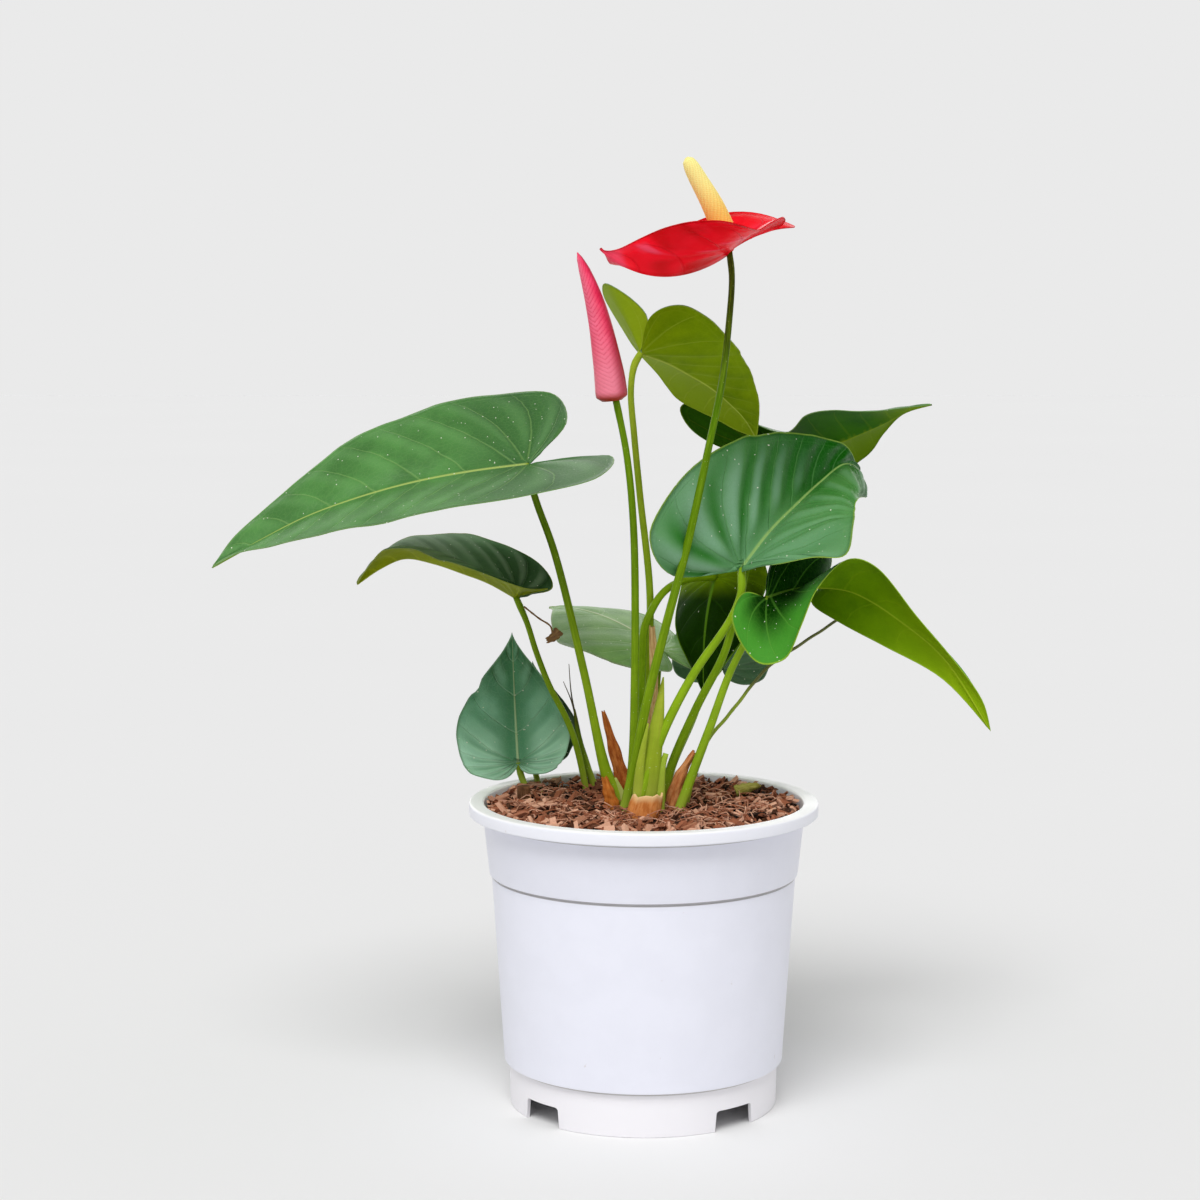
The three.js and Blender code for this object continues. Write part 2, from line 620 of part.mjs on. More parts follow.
function shapedRod(route, radii, sides, shape) {
  const curve = routeCurve(route);
  const last = radii.length - 1;
  return loft(radii.map(([t, radius], i) => uprightRing(
    curve.getPointAt(t),
    curve.getTangentAt(t),
    (turn) => (i === 0 || i === last ? radius : radius * shape(turn, i)),
    sides,
  )));
}

const spadixRoute = [[33.9, -25.2, 372], [32.5, -25, 378], [28, -26, 388.5], [21.5, -26.5, 400.5], [17.5, -27, 408.5]];
const spadixRadii = [
  [0, 0.9], [0.05, 3], [0.1, 4.5], [0.2, 4.8], [0.32, 4.6], [0.44, 4.4], [0.56, 4.1], [0.68, 3.8],
  [0.8, 3.4], [0.9, 2.8], [0.97, 1.7], [1, 0.6],
];
add('spadix', shapedRod(spadixRoute, spadixRadii, 12, (turn, i) => 1 + 0.04 * ((i + Math.round(turn * 12)) % 2)),
  '#f2c766', 0.5);

const budRoute = [[-12.2, -12, 307.8], [-14.5, -12.5, 318], [-16.2, -13, 327], [-19, -13.5, 341.5], [-22, -14, 353],
  [-25, -14, 361.5], [-28.5, -14, 369.5]];
const budRadii = [
  [0, 2.6], [0.03, 5.2], [0.12, 6.5], [0.3, 6.1], [0.48, 5.3], [0.63, 4.3], [0.76, 3.2], [0.88, 1.9],
  [0.96, 0.9], [1, 0.4],
];
// The rolled spathe laps over itself: the radius grows once round and steps back at the seam
add('bud_spathe', shapedRod(budRoute, budRadii, 14, (turn) => 0.95 + 0.12 * ((turn + 0.35) % 1)), '#cf3b3c', 0.35);

const budStalkRoute = [
  [-7.5, -4, 128.5], [-5, -4, 150], [-4, -4, 184], [-4.5, -8, 250.5], [-7.5, -10, 283.5], [-11.6, -12, 306.4],
];
add('bud_stalk', rootedStem(budStalkRoute, 2.2, 1.75), '#7c8f2c', 0.45);

// ---- dry pieces ----

const deadStalk = rootedStem([[-20.5, 43, 128], [-26, 44, 144], [-29, 44, 156], [-30.5, 44, 166.5]], 1.6, 1.4)
  .add(tube([[-30.2, 44, 164], [-32, 44, 174], [-33, 44, 187]], () => 0.45, 5))
  .add(tube([[-30, 44, 163], [-32, 44, 170.5], [-35.5, 44, 179]], () => 0.45, 5));
add('dead_stalk', deadStalk, '#8a6a3c', 0.8);

const drySide = tube([[-52.7, 28.8, 214.7], [-46, 29.5, 209.3], [-41, 30, 205.8], [-40, 30, 202]], () => 0.5, 5)
  .add(thicken(
    [[-42.5, 30.4, 204], [-37, 30, 203], [-37.5, 30, 198.5], [-42, 30.4, 200]].map(vector),
    [[0, 1, 2], [0, 2, 3]],
    0.8,
  ));
add('dry_thread', drySide, '#7a5434', 0.85);

const dryRoute = [
  [19, -2, 132], [22.5, -3, 147], [27, -2, 158.5], [38, 0, 172], [54, 6, 190.5], [67.5, 10, 199.5],
  [83, 15, 209], [91, 18, 214.5],
];
add('dry_stalk', rootedStem(dryRoute, 1.1, 0.9, 6), '#8d8064', 0.8);

add('papery_sheath', rootedStrip([[2.2, -1, 124], [2.4, -1, 138], [3.2, 0, 160], [4.4, 1, 190], [3.6, 3, 208]],
  2.6, 1.2, 0.8), '#c9a08c', 0.8);
add('brown_sheath_left', rootedStrip([[-6, 10, 124], [-7.2, 10, 134], [-11.6, 9, 149.5], [-17.3, 7, 170]],
  3, 0.6, 0.9), '#a9743c', 0.8);
add('brown_sheath_right', rootedStrip([[11.5, -6.5, 124], [12.2, -6.5, 132], [15, -6, 143], [21.2, -5, 154.5]],
  2.8, 0.8, 0.9), '#9c6534', 0.8);
add('orange_sheath', rootedStrip([[-12.8, -4, 123], [-13.2, -3.6, 129], [-15.5, -3, 138], [-16.8, -2, 142.5]],
  2.7, 1.2, 0.9), '#c8803c', 0.8);

// A torn sheath wraps round the front of the crown
const tearHeights = [0, 1.5, -1, 2.5, 0.5, 3.5, 1, -2, 1.5];
function tornSheath(grow) {
  const rows = 5;
  const columns = tearHeights.length;
  const points = [];
  for (let i = 0; i < rows; i += 1) {
    const t = i / (rows - 1);
    for (let j = 0; j < columns; j += 1) {
      const angle = rad(mix(188 - 9 * grow, 352 + 9 * grow, j / (columns - 1)));
      const radius = mix(6.6, 6.3, t);
      points.push(new THREE.Vector3(
        mix(-2.5, 1.4, t) + radius * Math.cos(angle),
        mix(-20, -18, t) + radius * Math.sin(angle) * 0.9,
        mix(121 - grow, 138.5, t) + t * tearHeights[j],
      ));
    }
  }
  return thicken(points, gridFaces(rows, columns), 1.2 + 2 * grow);
}
holes.push(tornSheath(holeGap));
add('torn_sheath', tornSheath(0), '#c78d5c', 0.75);

function roughRing(x, y, z, radius, seed) {
  const random = randomFrom(seed);
  const corners = 7;
  return Array.from({ length: corners }, (_, j) => {
    const angle = (2 * Math.PI * j) / corners;
    const reach = radius * mix(0.82, 1.12, random());
    return new THREE.Vector3(x + reach * Math.cos(angle), y + reach * Math.sin(angle), z + random());
  });
}
function cutStub(grow) {
  return loft([
    roughRing(-52, 15, 119 - grow, 3.3 + grow, 5),
    roughRing(-52.2, 15, 129, 3.1 + grow, 6),
    roughRing(-52.5, 15, 136, 2.7 + grow, 7),
  ]);
}
holes.push(cutStub(holeGap));
add('cut_stub', cutStub(0), '#6e4a30', 0.9);

function leafScrap(grow) {
  const corners = [[41, 20, 132.4], [44, 25, 133], [46.5, 20.5, 134.4], [51, 24, 135.2], [48, 28, 134.4]].map(vector);
  return thicken(corners, [[0, 2, 1], [1, 2, 4], [2, 3, 4]], 0.8 + 2 * grow);
}
holes.push(leafScrap(0.8));
add('leaf_scrap', leafScrap(0), '#9a9a3a', 0.7);

// ---- pot ----

const wallTop = 131.4;
const potProfile = [
  [0, 0], [wellRadius, 0], [wellRadius + 2, floorTop - floorThickness], [56.8, floorTop - floorThickness],
  [56.9, 0], [footRadius, 0], [footRadius + 0.2, 17.5], [61, 19.2], [61.1, 21.5], [66.3, 101],
  [67.2, 102.6], [69.7, 125], [69.9, rimBandBottom], [70.7, wallTop], [74, wallTop], [73.9, rimBandBottom],
  [75.2, rimBandBottom], [rimRadius, rimBandBottom + 1], [rimRadius, potHeight - 0.7],
  [rimRadius - 0.6, potHeight], [70.2, potHeight], [69.5, potHeight - 0.5], [68.5, 126],
  [67.2 - wallThickness, 103.2], [66.3 - wallThickness - 0.2, 101.2], [61.1 - wallThickness - 0.2, 21.8],
  [footRadius - wallThickness, 18.6], [footRadius - wallThickness, floorTop], [wellRadius + 3, floorTop],
  [wellRadius + 1, floorThickness], [0, floorThickness],
];
let pot = revolve(potProfile, potSegments);

// Notches in the foot ring: slightly narrower at the top, with cut corners
function notch(turn) {
  const half = notchWidth / 2;
  const across = [[-half, -1], [half, -1], [half - 0.8, notchHeight - 1], [half - 1.8, notchHeight],
    [1.8 - half, notchHeight], [0.8 - half, notchHeight - 1]];
  const rings = [52, 64].map((reach) => across.map(([side, z]) => new THREE.Vector3(
    reach * Math.cos(turn) - side * Math.sin(turn),
    reach * Math.sin(turn) + side * Math.cos(turn),
    z,
  )));
  return loft(rings);
}
for (const quarter of [0, 1, 2, 3]) pot = pot.subtract(notch(rad(notchAngle + 90 * quarter)));

for (let i = 0; i < drainHoleCount; i += 1) {
  const angle = (2 * Math.PI * i) / drainHoleCount;
  const x = drainCircleRadius * Math.cos(angle);
  const y = drainCircleRadius * Math.sin(angle);
  const rings = [-1, floorTop + 1].map((z) => Array.from({ length: 10 }, (_, j) => new THREE.Vector3(
    x + drainHoleRadius * Math.cos(j * Math.PI / 5),
    y + drainHoleRadius * Math.sin(j * Math.PI / 5),
    z,
  )));
  pot = pot.subtract(loft(rings));
}
add('pot', pot, '#eceef2', 0.4);

// ---- growing mix ----

const relief = randomFrom(41);
function mixHeight(r) {
  return mixTop + moundHeight * Math.exp(-((r / moundRadius) ** 2));
}
const mixProfile = [
  [0, floorThickness + mixGap], [wellRadius + 0.4, floorThickness + mixGap],
  [wellRadius + 2.5, floorTop + mixGap], [footRadius - wallThickness - mixGap, floorTop + mixGap],
  [footRadius - wallThickness - mixGap, 18.8], [61.1 - wallThickness - 0.2 - mixGap, 22.2],
  [66.3 - wallThickness - 0.2 - mixGap, 101.4], [67.2 - wallThickness - mixGap, 103.6], [68.1, 127], [68.3, 129.4],
  ...[66, 58, 50, 42, 33, 24, 15, 7].map((r) => [r, mixHeight(r)]), [0, mixHeight(0)],
];
let growingMix = revolve(mixProfile, potSegments, (r, z) => z + (z > mixTop - 1 ? mixRoughness * (relief() * 2 - 1) : 0));

// Husk chips: flat blocks with uneven corners, half sunk in the surface
const random = randomFrom(77);
for (let i = 0; i < chipCount; i += 1) {
  const angle = 2 * Math.PI * random();
  const reach = chipReach * Math.sqrt(random());
  const turn = Math.PI * random();
  const length = mix(4, 8.5, random());
  const width = mix(2.5, 5, random());
  const thick = mix(0.9, 2.2, random());
  const tilt = mix(-0.3, 0.3, random());
  const rings = [-1, 1].map((level) => [[-1, -1], [1, -1], [1, 1], [-1, 1]].map(([a, b]) => {
    const x = a * length * mix(0.75, 1.1, random());
    const y = b * width * mix(0.7, 1.15, random());
    return new THREE.Vector3(
      reach * Math.cos(angle) + x * Math.cos(turn) - y * Math.sin(turn),
      reach * Math.sin(angle) + x * Math.sin(turn) + y * Math.cos(turn),
      mixHeight(reach) + 0.7 + level * thick + tilt * x,
    );
  }));
  growingMix = growingMix.add(loft(rings));
}
growingMix = growingMix.intersect(revolve([[0, 0], [mixReach, 0], [mixReach, 150], [0, 150]], potSegments));
for (const hole of holes) growingMix = growingMix.subtract(hole);
// The holes can cut crumbs loose between two stems: only the main body stays
const bodies = growingMix.decompose().sort((a, b) => b.volume() - a.volume());
add('growing_mix', bodies[0].simplify(0.08), '#5b3a26', 0.95);

export default group;
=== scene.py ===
import math

import bmesh
import bpy
import numpy as np
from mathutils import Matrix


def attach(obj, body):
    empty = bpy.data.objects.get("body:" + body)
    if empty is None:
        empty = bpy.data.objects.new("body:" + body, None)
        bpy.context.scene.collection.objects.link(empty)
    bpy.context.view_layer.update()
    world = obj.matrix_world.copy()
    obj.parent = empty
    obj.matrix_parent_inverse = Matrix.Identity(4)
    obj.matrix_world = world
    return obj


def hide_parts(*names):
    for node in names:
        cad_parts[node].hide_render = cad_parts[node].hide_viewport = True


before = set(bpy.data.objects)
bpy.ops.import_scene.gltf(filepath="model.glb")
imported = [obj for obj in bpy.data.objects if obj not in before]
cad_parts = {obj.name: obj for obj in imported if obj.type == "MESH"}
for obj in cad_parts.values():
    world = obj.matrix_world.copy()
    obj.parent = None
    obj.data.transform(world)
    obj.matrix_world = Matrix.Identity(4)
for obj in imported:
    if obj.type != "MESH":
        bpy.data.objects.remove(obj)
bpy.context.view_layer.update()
mm = 0.001


def tint(code):
    # a screen colour such as "#5c8f57" as the linear colour that shaders take
    parts = [int(code[i:i + 2], 16) / 255 for i in (1, 3, 5)]
    return [p / 12.92 if p <= 0.04045 else ((p + 0.055) / 1.055) ** 2.4 for p in parts] + [1.0]


# node tree helpers: a value is set on the socket, a socket is linked to it
def put(tree, kind, inputs=None, **settings):
    node = tree.nodes.new(kind)
    for key, value in settings.items():
        setattr(node, key, value)
    for key, value in (inputs or {}).items():
        if isinstance(value, bpy.types.NodeSocket):
            tree.links.new(value, node.inputs[key])
        else:
            node.inputs[key].default_value = value
    return node


def maths(tree, operation, *values, clamp=False):
    node = put(tree, "ShaderNodeMath", dict(enumerate(values)), operation=operation, use_clamp=clamp)
    return node.outputs[0]


def ramp(tree, value, low, high, toLow=0.0, toHigh=1.0):
    node = put(tree, "ShaderNodeMapRange", {"Value": value, "From Min": low, "From Max": high,
               "To Min": toLow, "To Max": toHigh}, interpolation_type="SMOOTHSTEP")
    return node.outputs["Result"]


def blendColor(tree, factor, first, second):
    # a colour is a socket or a code
    first, second = (tint(color) if isinstance(color, str) else color for color in (first, second))
    return put(tree, "ShaderNodeMix", {0: factor, 6: first, 7: second}, data_type="RGBA").outputs[2]


def reading(tree, name, output="Fac"):
    return put(tree, "ShaderNodeAttribute", attribute_name=name).outputs[output]


def noiseAt(tree, vector, scale, detail=3.0, roughness=0.55, distortion=0.0):
    return put(tree, "ShaderNodeTexNoise", {"Vector": vector, "Scale": scale, "Detail": detail,
               "Roughness": roughness, "Distortion": distortion}).outputs["Fac"]


def stretched(tree, across, acrossScale, along, alongScale):
    # a flat place for a texture from two readings, each with its own scale
    return put(tree, "ShaderNodeCombineXYZ", {0: maths(tree, "MULTIPLY", across, acrossScale),
               1: maths(tree, "MULTIPLY", along, alongScale)}).outputs[0]


def newGroup(name, inputs, outputs):
    # inputs are (name, socket type, default), outputs (name, socket type); give() fills an output
    group = bpy.data.node_groups.new(name, "ShaderNodeTree")
    for label, kind, start in inputs:
        socket = group.interface.new_socket(label, in_out="INPUT", socket_type="NodeSocket" + kind)
        if start is not None:
            socket.default_value = start
    for label, kind in outputs:
        group.interface.new_socket(label, in_out="OUTPUT", socket_type="NodeSocket" + kind)
    given = group.nodes.new("NodeGroupInput").outputs
    result = group.nodes.new("NodeGroupOutput").inputs
    return group, given, lambda label, socket: group.links.new(socket, result[label])


def useGroup(tree, group, inputs):
    node = tree.nodes.new("ShaderNodeGroup")
    node.node_tree = group
    for key, value in inputs.items():
        if isinstance(value, bpy.types.NodeSocket):
            tree.links.new(value, node.inputs[key])
        else:
            node.inputs[key].default_value = value
    return node.outputs


def newMaterial(name, **settings):
    material = bpy.data.materials.new(name)
    material.use_nodes = True
    tree = material.node_tree
    shader = tree.nodes["Principled BSDF"]
    for key, value in settings.items():
        shader.inputs[key.replace("_", " ")].default_value = value
    return material, tree, shader


def finishSurface(tree, shader, color, rough, height, strength, distance):
    # colour, roughness and relief end every material; distance is in mm
    relief = put(tree, "ShaderNodeBump", {"Height": height, "Strength": strength, "Distance": distance * mm})
    for name, socket in (("Base Color", color), ("Roughness", rough), ("Normal", relief.outputs["Normal"])):
        tree.links.new(socket, shader.inputs[name])


# mesh helpers: a mesh is points in mm in the part's own frame, faces, and values for the materials to read
def addPiece(name, mesh, materials, node, faceSlots=None, smooth=True):
    points, faces, values = mesh
    shape = bpy.data.meshes.new(name)
    shape.from_pydata([tuple(p) for p in np.asarray(points, float) * mm], [], [tuple(f) for f in faces])
    for material in materials if isinstance(materials, list) else [materials]:
        shape.materials.append(material)
    if faceSlots is not None:
        shape.polygons.foreach_set("material_index", np.asarray(faceSlots, np.int32))
    shape.polygons.foreach_set("use_smooth", np.full(len(shape.polygons), smooth))
    for label, data in values.items():
        data = np.asarray(data, np.float32)
        kind, field = ("FLOAT_VECTOR", "vector") if data.ndim == 2 else ("FLOAT", "value")
        shape.attributes.new(label, kind, "POINT").data.foreach_set(field, data.ravel())
    shape.update()
    piece = placeObject(name, shape)
    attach(piece, "root")
    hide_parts(node)
    return piece


def placeObject(name, data):
    holder = bpy.data.objects.new(name, data)
    bpy.context.scene.collection.objects.link(holder)
    return holder


def smoothStep(value, low=0.0, high=1.0):
    t = np.clip((value - low) / (high - low), 0, 1)
    return t * t * (3 - 2 * t)


def catmull(points, t):
    # even Catmull-Rom through the points, as the solids' outline is drawn
    points = np.asarray(points, float)
    last = len(points) - 1
    at = np.clip(np.asarray(t, float), 0, 1) * last
    i = np.minimum(at.astype(int), last - 1)
    w = (at - i)[..., None]
    p = [points[np.clip(i + k, 0, last)] for k in (-1, 0, 1, 2)]
    return 0.5 * (2 * p[1] + (p[2] - p[0]) * w + (2 * p[0] - 5 * p[1] + 4 * p[2] - p[3]) * w ** 2
                  + (3 * p[1] - p[0] - 3 * p[2] + p[3]) * w ** 3)


def routePoints(route, count):
    # evenly spaced points on the smooth curve that the solids' stalks follow, and its length
    route = np.asarray(route, float)
    ends = np.vstack([2 * route[0] - route[1], route, 2 * route[-1] - route[-2]])
    w = np.linspace(0, 1, 24, endpoint=False)[:, None]
    samples = []
    for i in range(len(route) - 1):
        p = ends[i:i + 4]
        gaps = [max(np.linalg.norm(p[k + 1] - p[k]) ** 0.5, 1e-4) for k in range(3)]
        slopes = [(p[k + 1] - p[k]) / gaps[k] for k in range(3)]
        start = slopes[0] - (p[2] - p[0]) / (gaps[0] + gaps[1]) + slopes[1]
        end = slopes[1] - (p[3] - p[1]) / (gaps[1] + gaps[2]) + slopes[2]
        samples.append((2 * w ** 3 - 3 * w ** 2 + 1) * p[1] + (w ** 3 - 2 * w ** 2 + w) * start * gaps[1]
                       + (3 * w ** 2 - 2 * w ** 3) * p[2] + (w ** 3 - w ** 2) * end * gaps[1])
    samples = np.vstack(samples + [route[-1:]])
    run = np.concatenate([[0], np.cumsum(np.linalg.norm(np.diff(samples, axis=0), axis=1))])
    even = np.linspace(0, run[-1], count)
    return np.stack([np.interp(even, run, samples[:, k]) for k in range(3)], 1), run[-1]


def unit(vectors):
    return vectors / np.maximum(np.linalg.norm(vectors, axis=-1, keepdims=True), 1e-9)


def routeFrames(points):
    along = unit(np.gradient(points, axis=0))
    side = np.zeros_like(points)
    first = np.cross(along[0], [0, 1, 0.01])
    side[0] = first / np.linalg.norm(first)
    for i in range(1, len(points)):
        step = side[i - 1] - along[i] * np.dot(side[i - 1], along[i])
        side[i] = step / np.linalg.norm(step)
    return along, side, np.cross(along, side)


def rodMesh(route, radiusAt, sides, count, squeeze=1.0, capReach=(0, 0)):
    # rings along a route: radiusAt(t, angle) in mm; squeeze flattens front to back, capReach lengthens ends
    centre, length = routePoints(route, count)
    along, side, across = routeFrames(centre)
    turns = np.linspace(0, 2 * np.pi, sides, endpoint=False)
    t, angle = np.meshgrid(np.linspace(0, 1, count), turns, indexing="ij")
    radius = radiusAt(t, angle)
    ring = (centre[:, None] + side[:, None] * (radius * np.cos(angle))[..., None]
            + across[:, None] * (radius * np.sin(angle) * squeeze)[..., None])
    low, high = count * sides, count * sides + 1
    points = np.vstack([ring.reshape(-1, 3), centre[:1] - along[:1] * capReach[0],
                        centre[-1:] + along[-1:] * capReach[1]])
    faces = []
    for j in range(sides):
        k = (j + 1) % sides
        faces += [(i + j, i + k, i + sides + k, i + sides + j) for i in range(0, low - sides, sides)]
        faces += [(low, k, j), (high, low - sides + j, low - sides + k)]
    return points, faces, {"along": np.append(t, [0, 1]), "around": np.append(angle / (2 * np.pi), [0, 0]),
                           "length": np.append(t * length, [0, length])}


def tubeMesh(route, radiusAt, sides=14, step=2.5, squeeze=1.0):
    return rodMesh(route, radiusAt, sides, max(6, int(routePoints(route, 8)[1] / step) + 1), squeeze)


def joinMeshes(meshes):
    points, faces, values, start = [], [], {}, 0
    for p, f, v in meshes:
        points.append(p)
        faces += [tuple(i + start for i in face) for face in f]
        for key, data in v.items():
            values.setdefault(key, []).append(data)
        start += len(p)
    return np.vstack(points), faces, {key: np.concatenate(data) for key, data in values.items()}


def thickenMesh(grid, thickness):
    # a sheet from a grid of points (rows, columns, 3): two faces and the rim between them
    rows, columns = grid.shape[:2]
    normal = unit(np.cross(np.gradient(grid, axis=1), np.gradient(grid, axis=0)))
    points = np.vstack([(grid + normal * thickness * part).reshape(-1, 3) for part in (0.5, -0.5)])
    count = rows * columns
    faces = []
    for i in range(rows - 1):
        for j in range(columns - 1):
            a = i * columns + j
            face = (a, a + 1, a + columns + 1, a + columns)
            faces += [face, tuple(k + count for k in reversed(face))]
    edge = list(range(columns)) + [i * columns + columns - 1 for i in range(1, rows)]
    edge += [(rows - 1) * columns + j for j in range(columns - 2, -1, -1)]
    edge += [i * columns for i in range(rows - 2, 0, -1)]
    faces += [(b, a, a + count, b + count) for a, b in zip(edge, edge[1:] + edge[:1])]
    return points, faces


# veins of a heart-shaped leaf: lines of equal turn run from the midrib or the stalk to the margin
veinGroup, given, give = newGroup("leaf veins", [
    ("Turn", "Float", 0.0), ("Reach", "Float", 0.0), ("Spacing", "Float", 8.0), ("Middle", "Float", 0.0),
    ("Rim", "Float", 5.0), ("Along", "Float", 0.0), ("Flat", "Vector", None), ("Count", "Float", 10.0),
    ("Bend", "Float", 0.05), ("Vein Width", "Float", 0.5), ("Midrib Width", "Float", 1.6)],
    [("Veins", "Float"), ("Midrib", "Float"), ("Margin", "Float"), ("Quilt", "Float"), ("Flank", "Float"),
     ("Net", "Float")])
tree = veinGroup
wobble = noiseAt(tree, given["Flat"], 0.09, 2.0)
bent = maths(tree, "MULTIPLY", maths(tree, "MULTIPLY", given["Reach"], given["Reach"]), given["Bend"])
phase = maths(tree, "SUBTRACT", given["Turn"], bent)
phase = maths(tree, "MULTIPLY_ADD", phase, given["Count"], maths(tree, "MULTIPLY", wobble, 0.12))
swing = maths(tree, "PINGPONG", phase, 0.5)
fine = maths(tree, "MULTIPLY", ramp(tree, given["Reach"], 0.0, 1.0, 1.0, 0.45), given["Vein Width"])
side = maths(tree, "DIVIDE", maths(tree, "MULTIPLY", swing, given["Spacing"]), fine)
lateral = maths(tree, "MULTIPLY", ramp(tree, side, 0.35, 1.3, 1.0, 0.0),
                ramp(tree, given["Rim"], 1.5, 4.5, 0.25, 1.0))
# a thin vein that collects the others runs 3.6 mm inside the margin
collector = maths(tree, "ABSOLUTE", maths(tree, "SUBTRACT", given["Rim"], 3.6))
give("Veins", maths(tree, "MAXIMUM", lateral, ramp(tree, collector, 0.1, 0.5, 0.25, 0.0)))
taper = maths(tree, "MULTIPLY", ramp(tree, given["Along"], 0.0, 1.0, 1.0, 0.3), given["Midrib Width"])
give("Midrib", ramp(tree, maths(tree, "DIVIDE", given["Middle"], taper), 0.35, 1.05, 1.0, 0.0))
give("Margin", ramp(tree, given["Rim"], 0.15, 0.9, 1.0, 0.0))
give("Quilt", maths(tree, "POWER", maths(tree, "MULTIPLY", swing, 2.0), 0.6))
# one flank of each bulge faces the light and the other is in shade
flank = maths(tree, "SINE", maths(tree, "MULTIPLY", phase, 2 * math.pi))
flank = maths(tree, "MULTIPLY", flank, ramp(tree, given["Reach"], 0.08, 0.4))
give("Flank", maths(tree, "MULTIPLY", flank, ramp(tree, given["Reach"], 0.7, 1.0, 1.0, 0.2)))
net = put(tree, "ShaderNodeTexVoronoi", {"Vector": given["Flat"], "Scale": 0.42, "Randomness": 1.0},
          feature="DISTANCE_TO_EDGE")
give("Net", ramp(tree, net.outputs["Distance"], 0.0, 0.09, 1.0, 0.0))

# soft patches, fine grain and pale specks of leaves, stalks and flowers
mottleGroup, given, give = newGroup("living mottle", [
    ("Place", "Vector", None), ("Patch Scale", "Float", 0.05), ("Speck Scale", "Float", 0.9),
    ("Speck Amount", "Float", 0.2)],
    [("Patches", "Float"), ("Grain", "Float"), ("Specks", "Float")])
tree = mottleGroup
give("Patches", ramp(tree, noiseAt(tree, given["Place"], given["Patch Scale"], 4.0, 0.6), 0.35, 0.65))
give("Grain", noiseAt(tree, given["Place"], maths(tree, "MULTIPLY", given["Patch Scale"], 30.0), 2.0))
dots = put(tree, "ShaderNodeTexVoronoi", {"Vector": given["Place"], "Scale": given["Speck Scale"]})
few = put(tree, "ShaderNodeSeparateColor", {"Color": dots.outputs["Color"]}).outputs["Red"]
chosen = maths(tree, "LESS_THAN", few, given["Speck Amount"])
give("Specks", maths(tree, "MULTIPLY", chosen, ramp(tree, dots.outputs["Distance"], 0.08, 0.2, 1.0, 0.0)))

# dry tissue: long fibres and blotches
fibreGroup, given, give = newGroup("dry fibres", [
    ("Around", "Float", 0.0), ("Length", "Float", 0.0), ("Fineness", "Float", 30.0)],
    [("Fibres", "Float"), ("Blotches", "Float")])
tree = fibreGroup
strand = stretched(tree, given["Around"], given["Fineness"], given["Length"], 0.06)
give("Fibres", noiseAt(tree, strand, 1.0, 3.0, 0.6))
blot = stretched(tree, given["Around"], 4.0, given["Length"], 0.18)
give("Blotches", ramp(tree, noiseAt(tree, blot, 1.0, 4.0, 0.65), 0.36, 0.66))
print("shader groups ready")


# half an outline, from the stalk round the lobe to the tip
halfOutline = [(0, 0), (-0.45, 0.06), (-0.88, 0.24), (-1, 0.5), (-0.72, 0.82), (-0.1, 0.985), (0.1, 1),
               (0.3, 0.9), (0.5, 0.69), (0.7, 0.42), (0.86, 0.17), (0.95, 0.045), (1, 0)]
lobeShare = 1 / 3  # the part of a guided margin that goes round the lobe
leftHalf, rightHalf = 0, 1  # pairs of values in a leaf hold the left half first


def outlineAt(leaf, half, t):
    along, across = catmull(halfOutline, t).T
    widen = np.where(along < 0, 1 - leaf["splay"] * along, 1 + 4 * leaf["full"] * along * (1 - along))
    return (along * np.where(along > 0, leaf["length"], leaf["lobe"][half]),
            np.maximum(across, 0) * leaf["width"][half] * widen)


def bladeDirections(leaf, x, half):
    u = np.clip(x / leaf["length"], 0, 1.1)
    lobe = np.clip(-x / max(leaf["lobe"]), 0, 1)
    pitch = np.radians(leaf["pitch"] - leaf["droop"] * u + lobe * leaf["back"][half])
    heading = np.radians(leaf["heading"] + leaf["yaw"] * u)
    roll = np.radians(leaf["roll"] + leaf["twist"] * smoothStep(u))[..., None]
    flat = np.stack([np.cos(heading), np.sin(heading), 0 * heading], -1)
    run = flat * np.cos(pitch)[..., None] + np.array([0, 0, 1.0]) * np.sin(pitch)[..., None]
    level = np.stack([-flat[..., 1], flat[..., 0], 0 * heading], -1)
    up = np.cross(run, level)
    return run, level * np.cos(roll) + up * np.sin(roll), up * np.cos(roll) - level * np.sin(roll)


def bladeSurface(leaf, x, across, half):
    # the same bending as the solid: along the midrib first, then across each half
    back = np.linspace(-max(leaf["lobe"]) - 1, 0, 60)
    knots = np.concatenate([back[:-1], np.linspace(0, leaf["length"] * 1.02, 160)])
    run = bladeDirections(leaf, (knots[1:] + knots[:-1]) / 2, half)[0] * np.diff(knots)[:, None]
    spine = np.vstack([[0, 0, 0], np.cumsum(run, axis=0)])
    spine = spine - spine[len(back) - 1] + np.array(leaf["foot"])
    _, side, up = bladeDirections(leaf, x, half)
    u = np.clip(x / leaf["length"], 0, 1)
    start = np.radians(leaf["fold"][half] + leaf["opening"][half] * u)
    bend = math.radians(leaf["curl"][half] / leaf["width"][half]) or 1e-6
    outward = (np.sin(start + bend * across) - np.sin(start)) / bend
    upward = (np.cos(start) - np.cos(start + bend * across)) / bend
    centre = np.stack([np.interp(x, knots, spine[:, k]) for k in range(3)], -1)
    return centre + side * (outward if half == leftHalf else -outward)[..., None] + up * upward[..., None]


def edgeReach(leaf, half, t, rng):
    # how much of each row is left after the small bites and notches in the margin
    keep = np.ones_like(t)
    for side, at, width, depth in leaf.get("bites", []):
        if side == half:
            keep = keep - depth * np.exp(-np.abs((t - at) / width) ** 2.6)
    ragged = 0.004 * np.sin(t * 37 + rng.uniform(0, 6)) + 0.002 * np.sin(t * 97 + rng.uniform(0, 6))
    return keep + ragged * smoothStep(t, 0.02, 0.2) * smoothStep(1 - t, 0.02, 0.2)


